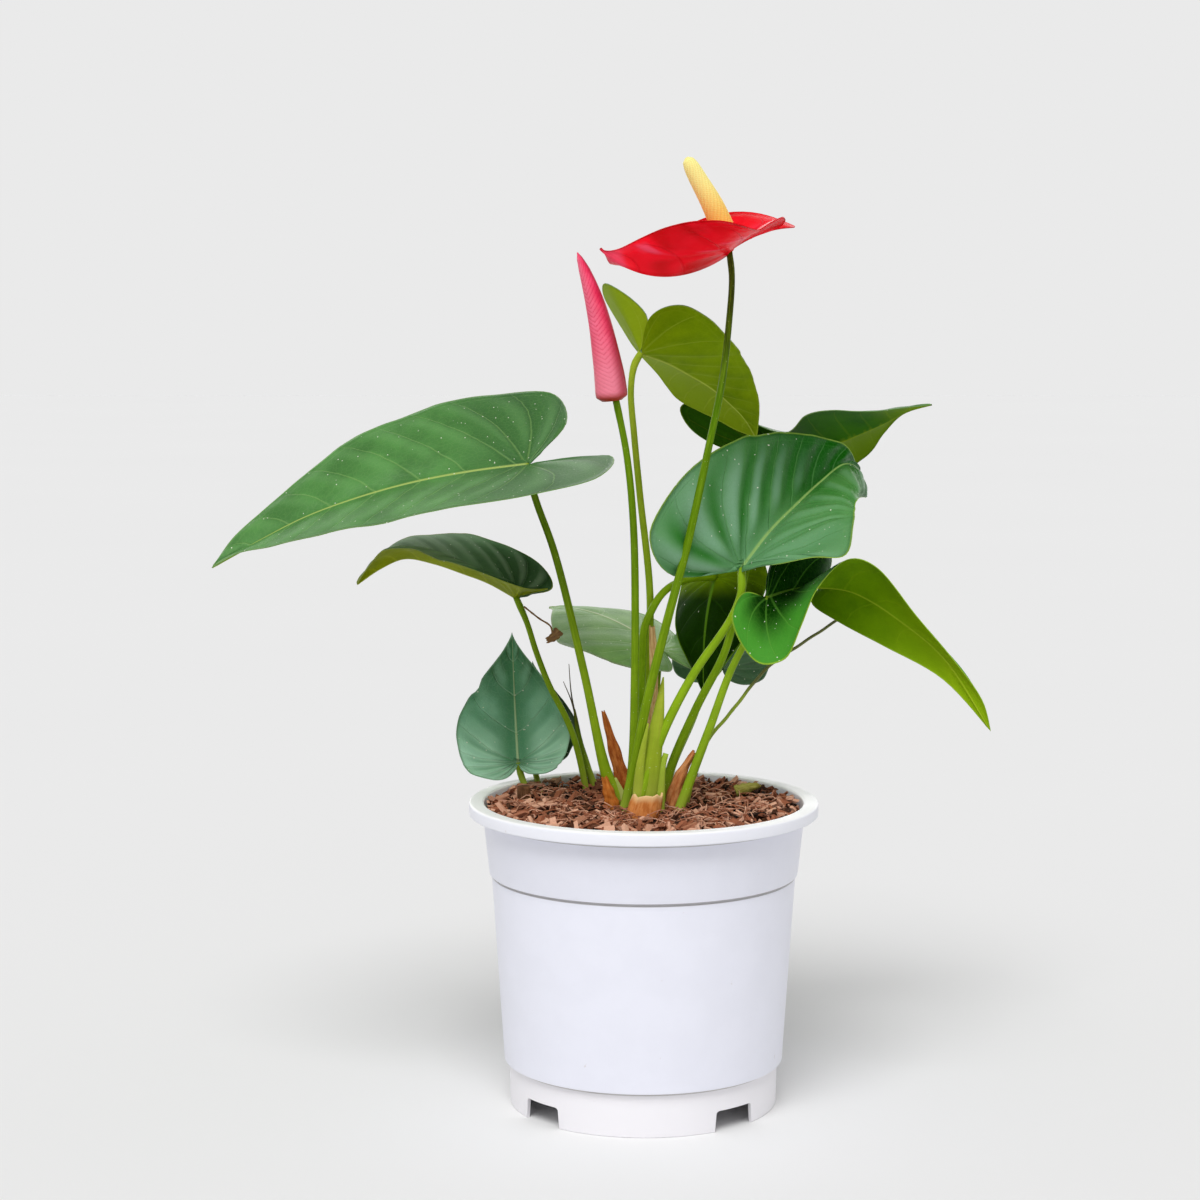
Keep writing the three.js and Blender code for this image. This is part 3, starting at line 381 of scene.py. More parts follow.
def bentHalf(leaf, half, t, s):
    # a blade that bends from its stalk: places, flat along and across, and which way its midrib faces
    shared = catmull(halfOutline, t)
    shrink = 0.6 * np.maximum(shared[:, 1:], 0) * np.mean(leaf["width"])
    spine = np.maximum(0, shared[:, :1] * leaf["length"] - shrink)
    spine[-1] = leaf["length"]
    edgeX, edgeY = (part[:, None] for part in outlineAt(leaf, half, t))
    x, y = spine * (1 - s) + edgeX * s, edgeY * s
    facing = bladeDirections(leaf, x[:, 0], half)[2]
    return bladeSurface(leaf, x, y, half), x, y, x / leaf["length"], np.hypot(edgeX - spine, edgeY), facing


def guidedHalf(leaf, half, t, s):
    # a blade led by three curves: its midrib and its two margins, all from the stalk to the tip
    def halfAt(t, half):
        u = np.clip((t - lobeShare) / (1 - lobeShare), 0, 1)
        spine = catmull(leaf["midrib"], u)
        across = catmull(leaf["right" if half else "left"], t) - spine
        before, after = (catmull(leaf["midrib"], np.clip(u + step, 0, 1)) for step in (-0.02, 0.02))
        run = after - before
        return u, spine, across, unit(run), unit(np.cross(across, run) if half else np.cross(run, across))
    u, spine, across, run, up = halfAt(t, half)
    facing = unit(sum(halfAt(np.clip(t, lobeShare, 0.97), side)[4] for side in (leftHalf, rightHalf)))
    lift = 4 * leaf["bulge"][half] * s * (1 - s) * np.sin(np.pi * t)[:, None]
    surface = spine[:, None] + across[:, None] * s[..., None] + up[:, None] * lift[..., None]
    reach = np.linalg.norm(across, axis=1)[:, None]
    forward = np.sum(across * run, axis=1)[:, None]
    length = routePoints(leaf["midrib"], 8)[1]
    x = u[:, None] * length + forward * s
    y = np.sqrt(np.maximum(reach ** 2 - forward ** 2, 0)) * s
    return surface, x, y, x / length, reach, facing


def bladeReliefs(leaf, half, t, s, x, y, along):
    # how far waves, quilting and midrib stand out, in mm and as a share, and the distance from the midrib
    wave = leaf["wave"] * s ** 2 * np.sin(2 * np.pi * (leaf["ripples"] * t + (0.6 if half else 0.1)))
    phase = (t - leaf["bend"] * s ** 2) * leaf["veins"]
    quilt = np.abs(np.abs((phase + 0.25) % 1 - 0.5) - 0.5) * 2
    quilt = np.sqrt(np.clip(quilt, 0, 1)) * smoothStep(s, 0.05, 0.3) * smoothStep(1 - s, 0.0, 0.25)
    middle = np.hypot(y, np.minimum(x, 0))
    rib = np.exp(-(middle / (1.1 - 0.6 * along)) ** 2) * np.clip(1.1 - along, 0, 1)
    return wave * np.sin(np.pi * t) + leaf["quilt"] * quilt, rib, middle


def bladePiece(name, leaf, materials, node, columns=84, rows=20):
    rng = np.random.default_rng(leaf["seed"])
    values = {key: [] for key in ("turn", "reach", "spacing", "middle", "rim", "along", "side", "flat")}
    halves = []
    for half in (leftHalf, rightHalf):
        t = np.linspace(0.012, 1, columns)
        keep = edgeReach(leaf, half, t, rng)[:, None]
        s = np.linspace(0, 1, rows)[None, :] ** 0.9 * keep
        shapeHalf = guidedHalf if "midrib" in leaf else bentHalf
        surface, x, y, along, rowLength, facing = shapeHalf(leaf, half, t, s)
        normal = unit(np.cross(np.gradient(surface, axis=0), np.gradient(surface, axis=1)))
        normal = -normal if half else normal
        normal[:, 0] = facing
        along = np.clip(along, 0, 1)
        turn = np.broadcast_to(t[:, None], x.shape)
        lift, rib, middle = bladeReliefs(leaf, half, turn, s, x, y, along)
        halves.append((surface, normal, lift, rib, s))
        spacing = np.linalg.norm(np.gradient(surface, t, axis=0), axis=-1) * 0.8
        flat = np.stack([x, -y if half else y, 0 * x], -1)
        side = np.full(x.shape, 0.0 if half else 1.0)
        for key, data in zip(values, (turn, s, spacing, middle, rowLength * (keep - s), along, side, flat)):
            values[key].append(data)
    size = columns * rows
    shell = []
    for face, ridge in ((1, 0.35), (-1, 0.9)):  # the midrib stands out more below than above
        for surface, normal, lift, rib, s in halves:
            thick = leaf.get("thickness", 0.6) * (0.5 - 0.2 * smoothStep(s, 0.75, 1)) + ridge * rib
            shell.append((surface + normal * (lift + face * thick)[..., None]).reshape(-1, 3))
    faces, slots = [], []
    for part in range(4):  # left and right upper face, left and right underside
        for start in range(part * size, (part + 1) * size - rows, rows):
            for a in range(start, start + rows - 1):
                quad = (a, a + rows, a + rows + 1, a + 1)
                faces.append(quad if part in (0, 3) else quad[::-1])
                slots.append(part // 2)
    for half in (leftHalf, rightHalf):  # the margin and the edge at the stalk join the two faces
        for rim in (list(range(rows - 1, size, rows)), list(range(rows))):
            for a, b in zip(rim, rim[1:]):
                quad = (half * size + b, half * size + a, (half + 2) * size + a, (half + 2) * size + b)
                faces.append(quad if (half == 0) == (rim[1] - rim[0] != 1) else quad[::-1])
                slots.append(0)
    data = {}
    for key, parts in values.items():
        stacked = np.vstack([part.reshape(size, -1) for part in parts] * 2)
        data[key] = stacked if key == "flat" else stacked[:, 0]
    weld(addPiece(name, (np.vstack(shell), faces, data), materials, node, slots))


def weld(piece, distance=0.02):
    # joins the two halves along the midrib and drops the faces that gather at the stalk
    shape = bmesh.new()
    shape.from_mesh(piece.data)
    bmesh.ops.remove_doubles(shape, verts=shape.verts, dist=distance * mm)
    bmesh.ops.dissolve_degenerate(shape, dist=0.001 * mm, edges=shape.edges)
    shape.to_mesh(piece.data)
    shape.free()


def veinReadings(tree, leaf):
    # the vein group fed with what bladePiece stored on the mesh
    inputs = {name: reading(tree, name.lower()) for name in ("Turn", "Reach", "Middle", "Rim", "Along")}
    return useGroup(tree, veinGroup, {
        **inputs, "Flat": reading(tree, "flat", "Vector"),
        "Count": float(leaf["veins"]), "Bend": leaf["bend"],
        "Spacing": maths(tree, "DIVIDE", reading(tree, "spacing"), float(leaf["veins"])),
        "Vein Width": leaf["veinWidth"], "Midrib Width": leaf["midribWidth"]})


def bladeMaterial(name, look, upper):
    # upper and lower faces share the vein map and differ in colour, gloss and which way the veins stand
    shine = look["shine"] if upper else 0.03
    material, tree, shader = newMaterial(name, Roughness=0.4, Specular_IOR_Level=shine)
    veins = veinReadings(tree, look)
    specks = look["specks"] if upper else 0.0
    mottle = useGroup(tree, mottleGroup, {"Place": reading(tree, "flat", "Vector"), "Patch Scale": 0.045,
                                          "Speck Scale": 0.55, "Speck Amount": specks})
    colors = look["upper"] if upper else look["lower"]
    along, side = reading(tree, "along"), reading(tree, "side")
    base = blendColor(tree, mottle["Patches"], colors["deep"], colors["light"])
    if "lobe" in colors:
        base = blendColor(tree, ramp(tree, along, *colors["lobeRange"], 1.0, 0.0), base, colors["lobe"])
    if "tip" in colors:
        base = blendColor(tree, ramp(tree, along, *colors["tipRange"]), base, colors["tip"])
    # the crests of the quilting are painted in the light colour, a painted highlight
    base = blendColor(tree, maths(tree, "MULTIPLY", veins["Quilt"], colors["bulge"]), base, colors["light"])
    # one flank of each bulge is painted in the sheen colour, a painted highlight, and the other in the deep
    # colour, a painted shade
    amount = ramp(tree, side, 0.0, 1.0, colors.get("flankRight", colors["flank"]), colors["flank"])
    flank = maths(tree, "MULTIPLY", veins["Flank"], amount)
    sheen = colors.get("sheen", colors["light"])
    base = blendColor(tree, maths(tree, "MAXIMUM", flank, 0.0), base, sheen)
    base = blendColor(tree, maths(tree, "MULTIPLY", flank, -1.0, clamp=True), base, colors["deep"])
    if "core" in colors:
        core = ramp(tree, reading(tree, "reach"), *colors["coreRange"], 1.0, 0.0)
        base = blendColor(tree, core, base, colors["core"])
    if "other" in colors:  # the left half gets another colour, all along or towards the tip: a painted shade on big_right and drooping, a painted light on far_right's underside
        part = maths(tree, "MULTIPLY", side, ramp(tree, along, *colors["otherRange"]))
        base = blendColor(tree, part, base, colors["other"])
    for line, amount, color in (("Net", colors["net"], "vein"), ("Veins", colors["veinShow"], "vein"),
                                ("Midrib", colors["ribShow"], "rib"), ("Margin", 0.8, "margin")):
        base = blendColor(tree, maths(tree, "MULTIPLY", veins[line], amount), base, colors[color])
    base = blendColor(tree, mottle["Specks"], base, "#e8ecd8")
    height = veins["Quilt"]
    for line, amount in ((veins["Veins"], -0.5 if upper else 0.7), (veins["Net"], -0.12 if upper else 0.12),
                         (mottle["Grain"], 0.12), (veins["Midrib"], 0.6)):
        height = maths(tree, "MULTIPLY_ADD", line, amount, height)
    rough = ramp(tree, mottle["Grain"], 0.2, 0.8, *colors["rough"])
    finishSurface(tree, shader, base, rough, height, colors["relief"], 0.35)
    return material


def leafLook(upper, lower, veins=11, bend=0.05, veinWidth=0.5, midribWidth=1.3, specks=0.12, shine=0.5):
    # ranges run from the stalk to the tip, coreRange from the midrib to the margin
    ranges = {"otherRange": (-2.0, -1.0), "lobeRange": (0.0, 0.3), "tipRange": (0.5, 1.0),
              "coreRange": (0.15, 0.8)}
    upperStart = {"bulge": 0.3, "flank": 0.35, "net": 0.1, "veinShow": 0.4, "ribShow": 0.85, "relief": 0.6,
                  "rough": (0.34, 0.5)}
    lowerStart = {"bulge": 0.15, "flank": 0.2, "net": 0.08, "veinShow": 0.3, "ribShow": 0.75, "relief": 0.35,
                  "rough": (0.5, 0.64)}
    return dict(upper={**ranges, **upperStart, **upper}, lower={**ranges, **lowerStart, **lower}, veins=veins,
                bend=bend, veinWidth=veinWidth, midribWidth=midribWidth, specks=specks, shine=shine)


def shades(deep, light, vein, rib=None, margin=None, **more):
    return {"deep": deep, "light": light, "vein": vein, "rib": rib or vein, "margin": margin or vein, **more}


# sizes in mm and angles in degrees, as in the solids; looks and small faults of each blade after them
leaves = {
    "upper_left": dict(
        midrib=[(-50.5, -8, 279.5), (-74.5, -10, 276.5), (-98.5, -10.5, 272), (-122, -9.5, 265.5),
                (-145, -6.5, 257), (-166.5, -2, 246), (-187, 3.5, 234.5)],
        left=[(-50.5, -8, 279.5), (-15, -22, 284.5), (-21, -54, 277), (-52, -60, 269.5),
              (-78.5, -59.5, 266), (-91.5, -57, 262.5), (-104.5, -53, 259.5), (-117.5, -47, 256.5),
              (-131, -39.5, 253.5), (-145, -30.5, 250), (-159, -20, 245.5), (-174, -7.5, 242),
              (-187, 3.5, 234.5)],
        right=[(-50.5, -8, 279.5), (-33.5, 5.5, 297), (-41, 34.5, 309), (-67.5, 37.5, 308),
               (-89.5, 33, 304), (-104.5, 29, 299), (-118.5, 24, 293.5), (-132, 19, 286.5), (-144, 14.5, 277),
               (-155.5, 10.5, 267), (-167, 7, 257.5), (-178, 4, 247), (-187, 3.5, 234.5)],
        bulge=(0.5, 1.5), wave=0.4, ripples=5, quilt=0.5, seed=11,
        look=leafLook(shades("#316a20", "#4a8838", "#7aa856", "#a9c060", "#6f9a48", lobe="#1f5614",
                             sheen="#68a058", flank=0.3),
                      shades("#6f8c14", "#86a024", "#a9bf4a")),
        stalk=dict(size=dict(start=1.95, end=1.4, flare=1.0, flareLength=30), colors=("#8fae1c", "#4c680a")),
        route=[(-9.5, 4, 129), (-16, 2, 144), (-26, -2, 190), (-38.5, -6, 242), (-46.5, -8, 265)]),
    "lower_left": dict(
        midrib=[(-56.5, 32, 219), (-68, 31.5, 225.5), (-80, 31, 230), (-92.5, 32, 234), (-105.5, 33.5, 236),
                (-117, 36, 231), (-127.5, 39, 223.5)],
        left=[(-56.5, 32, 219), (-42, 24.5, 223), (-50.5, -14, 227.5), (-66.5, -26, 234),
              (-82, -26.5, 239.5), (-87.5, -23.5, 241), (-93.5, -19.5, 242.5), (-100, -13.5, 244),
              (-106.5, -5.5, 244), (-113, 5, 241.5), (-118.5, 18.5, 236), (-123.5, 31, 230),
              (-127.5, 39, 223.5)],
        right=[(-56.5, 32, 219), (-40.5, 39.5, 221.5), (-45.5, 67.5, 228.5), (-60, 80.5, 236.5),
               (-75.5, 83, 241.5), (-83.5, 78.5, 242.5), (-91.5, 72, 243.5), (-99, 65, 243.5),
               (-106, 58.5, 242.5), (-113, 52, 240), (-118.5, 46.5, 235.5), (-123, 41.5, 229.5),
               (-127.5, 39, 223.5)],
        bulge=(3, 1.5), wave=0.5, ripples=4, quilt=0.8, seed=12,
        # lobe is a painted shade near the stalk; tip is a painted sheen towards the tip and sheen a painted
        # highlight on the flanks
        look=leafLook(shades("#3c5c38", "#648860", "#68885e", "#9aa83c", "#8f9a3a", relief=0.9,
                             lobe="#1c3a18", lobeRange=(0.0, 0.35), tip="#a2b4a0", tipRange=(0.2, 0.7),
                             sheen="#8aa284", flank=0.4),
                      shades("#6f7c04", "#84900a", "#9ca624", margin="#a9ad40"), shine=0.0),
        stalk=dict(size=dict(start=1.5, end=1.2), colors=("#8fae24", "#6f9016")),
        route=[(-25, 41, 128), (-30, 39, 152), (-34.5, 38, 164), (-41.5, 36, 178), (-47.5, 34, 194),
               (-51.5, 33, 207)]),
    "low_front": dict(
        length=60, lobe=(9, 9), width=(25, 22), splay=0.04, full=0.24,
        heading=99, pitch=63, droop=-17, yaw=1, roll=-8, twist=8,
        fold=(12, 13), opening=(-1, -2), curl=(0, 0),
        back=(-15, -24), foot=(-56, 42, 142.6), wave=1, ripples=4, quilt=0.4, seed=13,
        bites=[(leftHalf, 0.7, 0.018, 0.07), (rightHalf, 0.34, 0.012, 0.04)],
        # lobe is painted pale near the stalk, a painted sheen; sheen is a painted highlight on the flanks
        look=leafLook(shades("#4c8c64", "#80be98", "#94c09c", "#acc894", "#8cb894", relief=0.9,
                             core="#4e8c62", coreRange=(0.1, 0.5), tip="#1e5420", tipRange=(0.35, 0.8),
                             lobe="#b4e4c4", lobeRange=(0.0, 0.45), sheen="#88c09c", flank=0.5),
                      shades("#5f8046", "#76945c", "#9ab27a"), veinWidth=0.4, midribWidth=0.8, shine=0.2),
        stalk=dict(size=dict(start=1.4, end=1.2), colors=("#8a9a2a", "#7f9a2c")),
        route=[(-51, 38.5, 128.5), (-54.5, 42.5, 136)]),
    "low_behind": dict(
        length=42, lobe=(8, 8), width=(17, 18), splay=0.04, full=0.24,
        heading=93, pitch=62, droop=-14, yaw=1, roll=-4, twist=6,
        fold=(10, 12), opening=(0, 0), curl=(0, 0),
        back=(-15, -20), foot=(-49, 53, 146), wave=0.8, ripples=4, quilt=0.4, seed=14,
        look=leafLook(shades("#1c3c1c", "#2c5228", "#456b38"), shades("#4c6f2c", "#62823c", "#7f9a50")),
        stalk=dict(size=dict(start=1.4, end=1.2), colors=("#8a9a2a", "#7f9a2c")),
        route=[(-46, 42, 128), (-48.5, 51.5, 137.5)]),
    "grey_back": dict(
        length=78, lobe=(18, 21), width=(33, 29), splay=-0.09, full=0.32,
        heading=137, pitch=27, droop=35, yaw=-9, roll=10, twist=-10,
        fold=(-1, 4), opening=(-9, 2), curl=(-23, -10),
        back=(-1, 2), foot=(7.9, 52, 192.4), wave=1, ripples=4, quilt=0.4, seed=15,
        look=leafLook(shades("#6a9a50", "#88b468", "#a4c488", "#c6d2a0", "#a6bd88"),
                      shades("#6f8c34", "#869e48", "#a3b860"), shine=0.3),
        stalk=dict(size=dict(start=1.9, end=1.4), colors=("#7c9c1c", "#7c9c1c")),
        route=[(4, 20, 129.5), (4.5, 22, 147), (6, 34, 172)]),
    "top_back": dict(
        midrib=[(-1, 22, 327), (10, 30, 323), (20, 38.5, 317.5), (30, 47, 311.5), (38.5, 55.5, 304.5),
                (46.5, 64.5, 296.5), (52.5, 73.5, 287)],
        left=[(-1, 22, 327), (1, 17, 343.5), (-15.5, 36, 357), (-17, 62.5, 350.5), (-7, 68.5, 333.5),
              (-1, 69.5, 326), (5, 70, 318.5), (11, 70, 311), (17.5, 69.5, 304.5), (26, 69, 299.5),
              (34.5, 69.5, 295.5), (43, 70.5, 291), (52.5, 73.5, 287)],
        right=[(-1, 22, 327), (2.5, 6, 342.5), (14.5, -2.5, 347.5), (28.5, 2.5, 341.5), (40, 18.5, 330),
               (43, 26.5, 325.5), (46.5, 35, 320.5), (49, 43.5, 315.5), (51, 50.5, 310), (52.5, 56.5, 304.5),
               (53, 62.5, 299), (53, 68, 293), (52.5, 73.5, 287)],
        bulge=(0.5, -2), wave=0.4, ripples=4, quilt=0.4, seed=16,
        look=leafLook(shades("#3a6450", "#54806a", "#7aa084"),
                      shades("#6f8c00", "#86a204", "#b2c440", "#c6d458", "#aabf3c", other="#8ea814",
                             flank=0.3)),
        stalk=dict(size=dict(start=1.75, end=1.3), colors=("#7fa410", "#9fb430")),
        route=[(1.5, 12, 131), (1, 12, 140), (2, 17, 179), (3, 21, 221), (-1.5, 20, 265), (-4, 20, 290.5),
               (-5.5, 21, 310.5), (-4, 22, 321.5)]),
    "far_right": dict(
        midrib=[(61.5, 80, 280.5), (76.5, 80, 282), (89, 79, 284.5), (100, 78, 289), (111, 76, 294),
                (121.5, 73, 299.5), (132, 70, 302.5)],
        left=[(61.5, 80, 280.5), (54, 92, 273), (46.5, 104, 265), (48, 114, 257.5), (59.5, 120, 254.5),
              (71.5, 122, 257), (83, 121, 262), (94, 117, 268), (102.5, 110, 274), (108.5, 102, 280),
              (113, 93, 288.5), (120, 82, 297.5), (132, 70, 302.5)],
        right=[(61.5, 80, 280.5), (43.5, 86, 280), (25, 88, 288.5), (18, 86, 300.5), (31.5, 82, 305),
               (50, 76.5, 294), (64.5, 58, 290.5), (72.5, 47, 298.5), (83.5, 45, 300.5), (95, 48, 300.5),
               (107.5, 54, 300.5), (120, 62, 301.5), (132, 70, 302.5)],
        bulge=(3, 2), wave=0.4, ripples=4, quilt=0.4, seed=17,
        # on the underside the deep and light colours are a painted shade on the near half, other is painted
        # light on the far half, tip is painted lighter towards the tip, and lobe is a painted shade under the
        # leaf above
        look=leafLook(shades("#2a5a20", "#3f7432", "#6a9448"),
                      shades("#215802", "#306604", "#7f9818", "#94a828", "#6f8a14", other="#5d7c00",
                             tip="#7c9a0a", tipRange=(0.55, 1.0), lobe="#1b3c02", veinShow=0.12,
                             ribShow=0.5, net=0.02)),
        stalk=dict(size=dict(start=2, end=1.25), colors=("#84a818", "#6f9410")),
        route=[(8, -2, 130), (11.5, 0, 146.5), (23, 2, 173.5), (35, 6, 196.5), (40, 12, 212.5),
               (43.5, 18, 223.5), (46, 25, 234), (49, 35, 246), (51.5, 50, 260.5), (53.5, 66, 273)]),
    "big_right": dict(
        midrib=[(42, -5, 235), (54, 6, 249), (66.5, 18.5, 260), (78, 32, 269), (90, 46, 276.5),
                (98.5, 60, 272.5), (101.5, 74, 260)],
        left=[(42, -5, 235), (12, -22, 233.5), (2, -38, 253.5), (17.5, -19.5, 277.5), (41, 6.5, 290),
              (50.5, 16.5, 291.5), (60.5, 27, 292), (71, 37, 291), (81, 46.5, 288.5), (91, 55, 285.5),
              (96, 62, 278), (98.5, 68, 269.5), (101.5, 74, 260)],
        right=[(42, -5, 235), (56, -27, 239), (70.5, -38, 243), (83.5, -42.5, 245), (89, -16, 257),
               (89.5, -12, 258), (90, -7, 259.5), (91, -1, 260.5), (91.5, 6, 262), (93, 14, 263),
               (95, 25.5, 263), (98, 52, 261.5), (101.5, 74, 260)],
        bulge=(-2, 2), wave=0.5, ripples=5, quilt=2.0, seed=18,
        # lobe is a painted sheen near the stalk and sheen a painted highlight on the flanks; tip and other are
        # a painted shade on the far top corner
        look=leafLook(shades("#2c7622", "#549048", "#55964a", "#a4c870", "#9cc04c", relief=1.0, bulge=0.4,
                             flank=0.9, flankRight=0.2, sheen="#86b490",
                             lobe="#6c9f72", lobeRange=(0.0, 0.45),
                             tip="#114c05", tipRange=(0.36, 0.76), other="#0d5204", otherRange=(0.12, 0.6),
                             ribShow=0.65),
                      shades("#687c14", "#7f9424", "#9aae40"), shine=0.09),
        stalk=dict(size=dict(start=2.3, end=1.5), colors=("#8cb01a", "#8aae1e")),
        route=[(-2, -17, 136.5), (1, -16, 145.5), (8.5, -14, 166), (21, -12, 190), (37, -10, 213.5),
               (41.5, -9, 225)]),
    "drooping": dict(
        midrib=[(52.5, -8, 222.5), (63.5, -3, 225), (77, 1.5, 226.5), (91.5, 0, 224), (108.5, -6.5, 214),
                (129, -13.5, 196.5), (148, -19, 166.5)],
        left=[(52.5, -8, 222.5), (53.5, -3.5, 226.5), (53.5, 1, 232.5), (56.5, 7, 238), (62.5, 13, 241.5),
              (73.5, 20, 243.5), (82.5, 24.5, 238), (80, 20, 227.5), (73.5, 12, 218.5), (83, 5, 211.5),
              (103, -4, 201.5), (128, -13.5, 188), (148, -19, 166.5)],
        right=[(52.5, -8, 222.5), (42, -15.5, 225.5), (37, -24, 214), (46.5, -29, 198), (59, -31, 199.5),
               (66, -32, 213.5), (72.5, -30.5, 229.5), (85, -27.5, 241), (98.5, -24, 236.5), (115, -21, 217),
               (131.5, -19.5, 197.5), (144, -19, 180), (148, -19, 166.5)],
        bulge=(2, 2), wave=0.3, ripples=4, quilt=0.5, seed=19,
        # core is a painted shade round the joint, other a painted shade on the far half under big_right, and
        # lobe a painted sheen on the front lobe
        look=leafLook(shades("#277a10", "#3c8c1c", "#5fa038", "#7fb040", "#a6c840", core="#083401", flank=0.1,
                             coreRange=(0.25, 0.85), bulge=0.0, lobe="#4f9a36", lobeRange=(-0.2, 0.4),
                             other="#0b3a02", ribShow=0.5),
                      shades("#537c00", "#668f02", "#8cab18", "#a8bf30", "#9cb828", tip="#8cab10",
                             veinShow=0.15, ribShow=0.5), midribWidth=1, shine=0.02),
        stalk=dict(size=dict(start=2.2, end=1.3), colors=("#8cae22", "#8aac24")),
        route=[(15, -10, 129.5), (18.5, -9, 139.5), (28.5, -8, 166.5), (37.5, -8, 191.5), (47.5, -8, 211)]),
    "hanging": dict(
        length=55, lobe=(12, 12), width=(31, 26), splay=-0.05, full=0.03,
        heading=232, pitch=-62, droop=37, yaw=15, roll=13, twist=5,
        fold=(-1, -4), opening=(3, 5), curl=(-8, -10),
        back=(0, 0), foot=(33, 44, 226.3), wave=0.8, ripples=4, quilt=0.4, seed=20,
        # the deep and light colours of the upper face are a painted shade, and lobe is a painted light on the
        # basal lobes near the stalk
        look=leafLook(shades("#102a00", "#1a3a02", "#2f5808", "#5f8c20", "#6a9420", lobe="#86a80c",
                             lobeRange=(-0.03, 0.22), veinShow=0.25),
                      shades("#54760c", "#6a8c18", "#8aa630"), shine=0.01, specks=0.05),
        stalk=dict(size=dict(start=2, end=1.5), colors=("#6f9a0c", "#82a812")),
        route=[(0, 4, 132.5), (-0.5, 5, 150), (-1, 7, 176), (-0.5, 9, 195.5), (0.5, 12, 207.5),
               (3.5, 14, 214.5), (7.5, 19, 220.5), (13, 26, 224.5), (22, 35, 226.5)]),
    "low_back": dict(
        length=52, lobe=(9, 10), width=(23, 23), splay=0.1, full=0.05,
        heading=83, pitch=64, droop=1, yaw=3, roll=-1, twist=0,
        fold=(8, 8), opening=(0, 0), curl=(3, 1),
        back=(-5, -7), foot=(37.7, 86, 180.4), wave=0.8, ripples=4, quilt=0.3, seed=21,
        look=leafLook(shades("#42684a", "#5a805e", "#7a9a78"),
                      shades("#5f8046", "#76945c", "#9ab27a"), shine=0.3),
        stalk=dict(size=dict(start=1.7, end=1.3), colors=("#7c9c1c", "#7c9c1c")),
        route=[(9.5, 24, 128.5), (13, 32, 141), (23, 60, 158), (31, 91, 170.5)]),
}


def rooted(route, depth=116, lean=0.35):
    # leads a route down into the mix, as the solids do
    first, second = np.array(route[0], float), np.array(route[1], float)
    drop = (first[2] - depth) / (second[2] - first[2])
    foot = first - lean * drop * (second - first)
    foot[2] = depth
    return [tuple(foot)] + list(route)


def stalkMaterial(name, low, high, top=None, topRange=(0.78, 0.97)):
    # smooth living stalk: fine lengthwise streaks, few pale dots, a shade from foot to top
    material, tree, shader = newMaterial(name, Specular_IOR_Level=0.04)
    along, around, length = (reading(tree, value) for value in ("along", "around", "length"))
    streaks = useGroup(tree, fibreGroup, {"Around": around, "Length": length, "Fineness": 26.0})["Fibres"]
    mottle = useGroup(tree, mottleGroup, {"Place": stretched(tree, around, 12.0, length, 1.0),
                                          "Patch Scale": 0.08, "Speck Scale": 0.8, "Speck Amount": 0.16})
    base = blendColor(tree, ramp(tree, along, 0.1, 0.95), low, high)
    if top:
        base = blendColor(tree, ramp(tree, along, *topRange), base, top)
    for share, color in ((ramp(tree, streaks, 0.4, 0.7, 0.0, 0.35), "#a8c830"),
                         (maths(tree, "MULTIPLY", mottle["Patches"], 0.25), "#54760a"),
                         (ramp(tree, length, 10.0, 30.0, 0.5, 0.0), "#b4bc50"),
                         (maths(tree, "MULTIPLY", mottle["Specks"], 0.6), "#cdd894")):
        base = blendColor(tree, share, base, color)
    finishSurface(tree, shader, base, ramp(tree, streaks, 0.2, 0.8, 0.3, 0.45), streaks, 0.35, 0.2)
    return material


def stalkRadius(route, start, end, knuckle=0.22, flare=0.12, flareLength=14):
    # a stalk thickens into a short knuckle under the blade and flares a little at its foot
    length = routePoints(route, 8)[1]

    def radius(t, angle):
        swell = 1 + knuckle * np.exp(-(((1 - t) * length - 5) / 4.5) ** 2)
        spread = 1 + flare * np.exp(-(t * length / flareLength) ** 2)
        uneven = 1 + 0.03 * np.cos(2 * angle) + 0.015 * np.cos(5 * angle)
        return (start + (end - start) * t) * swell * spread * uneven
    return radius


# spears and stubs that grow from the foot of a stalk; wide says how long each keeps its first radius
joinedGrowths = {
    "upper_left": [
        dict(route=[(-7.4, 1.8, 125), (-9.6, 1.9, 135), (-12.6, 1.9, 142.5)], start=2.6, end=0.8, wide=1.5,
             low="#d8d8a4", high="#c2cc7c")],
    "big_right": [
        dict(route=[(0.4, -14.5, 126), (3, -14.5, 150), (5.6, -13.5, 168), (8.2, -12.5, 189)], start=4.9,
             end=0.3, wide=2.2, low="#86a014", high="#aab63c"),
        dict(route=[(-3, -17.5, 126), (-1.8, -17, 149.5), (1.6, -17, 169.5)], start=2.6, end=0.4, wide=2.0,
             low="#9cae2c", high="#a8b83c"),
        dict(route=[(6.5, -16.5, 126), (8, -15, 151), (9.4, -14, 156)], start=2.2, end=1.2, wide=1.5,
             low="#8fae1c", high="#9fb83c")],
}


def growthRadius(growth):
    return lambda t, angle: ((growth["start"] + (growth["end"] - growth["start"]) * t ** growth["wide"])
                             * (1 + 0.05 * np.cos(3 * angle)))


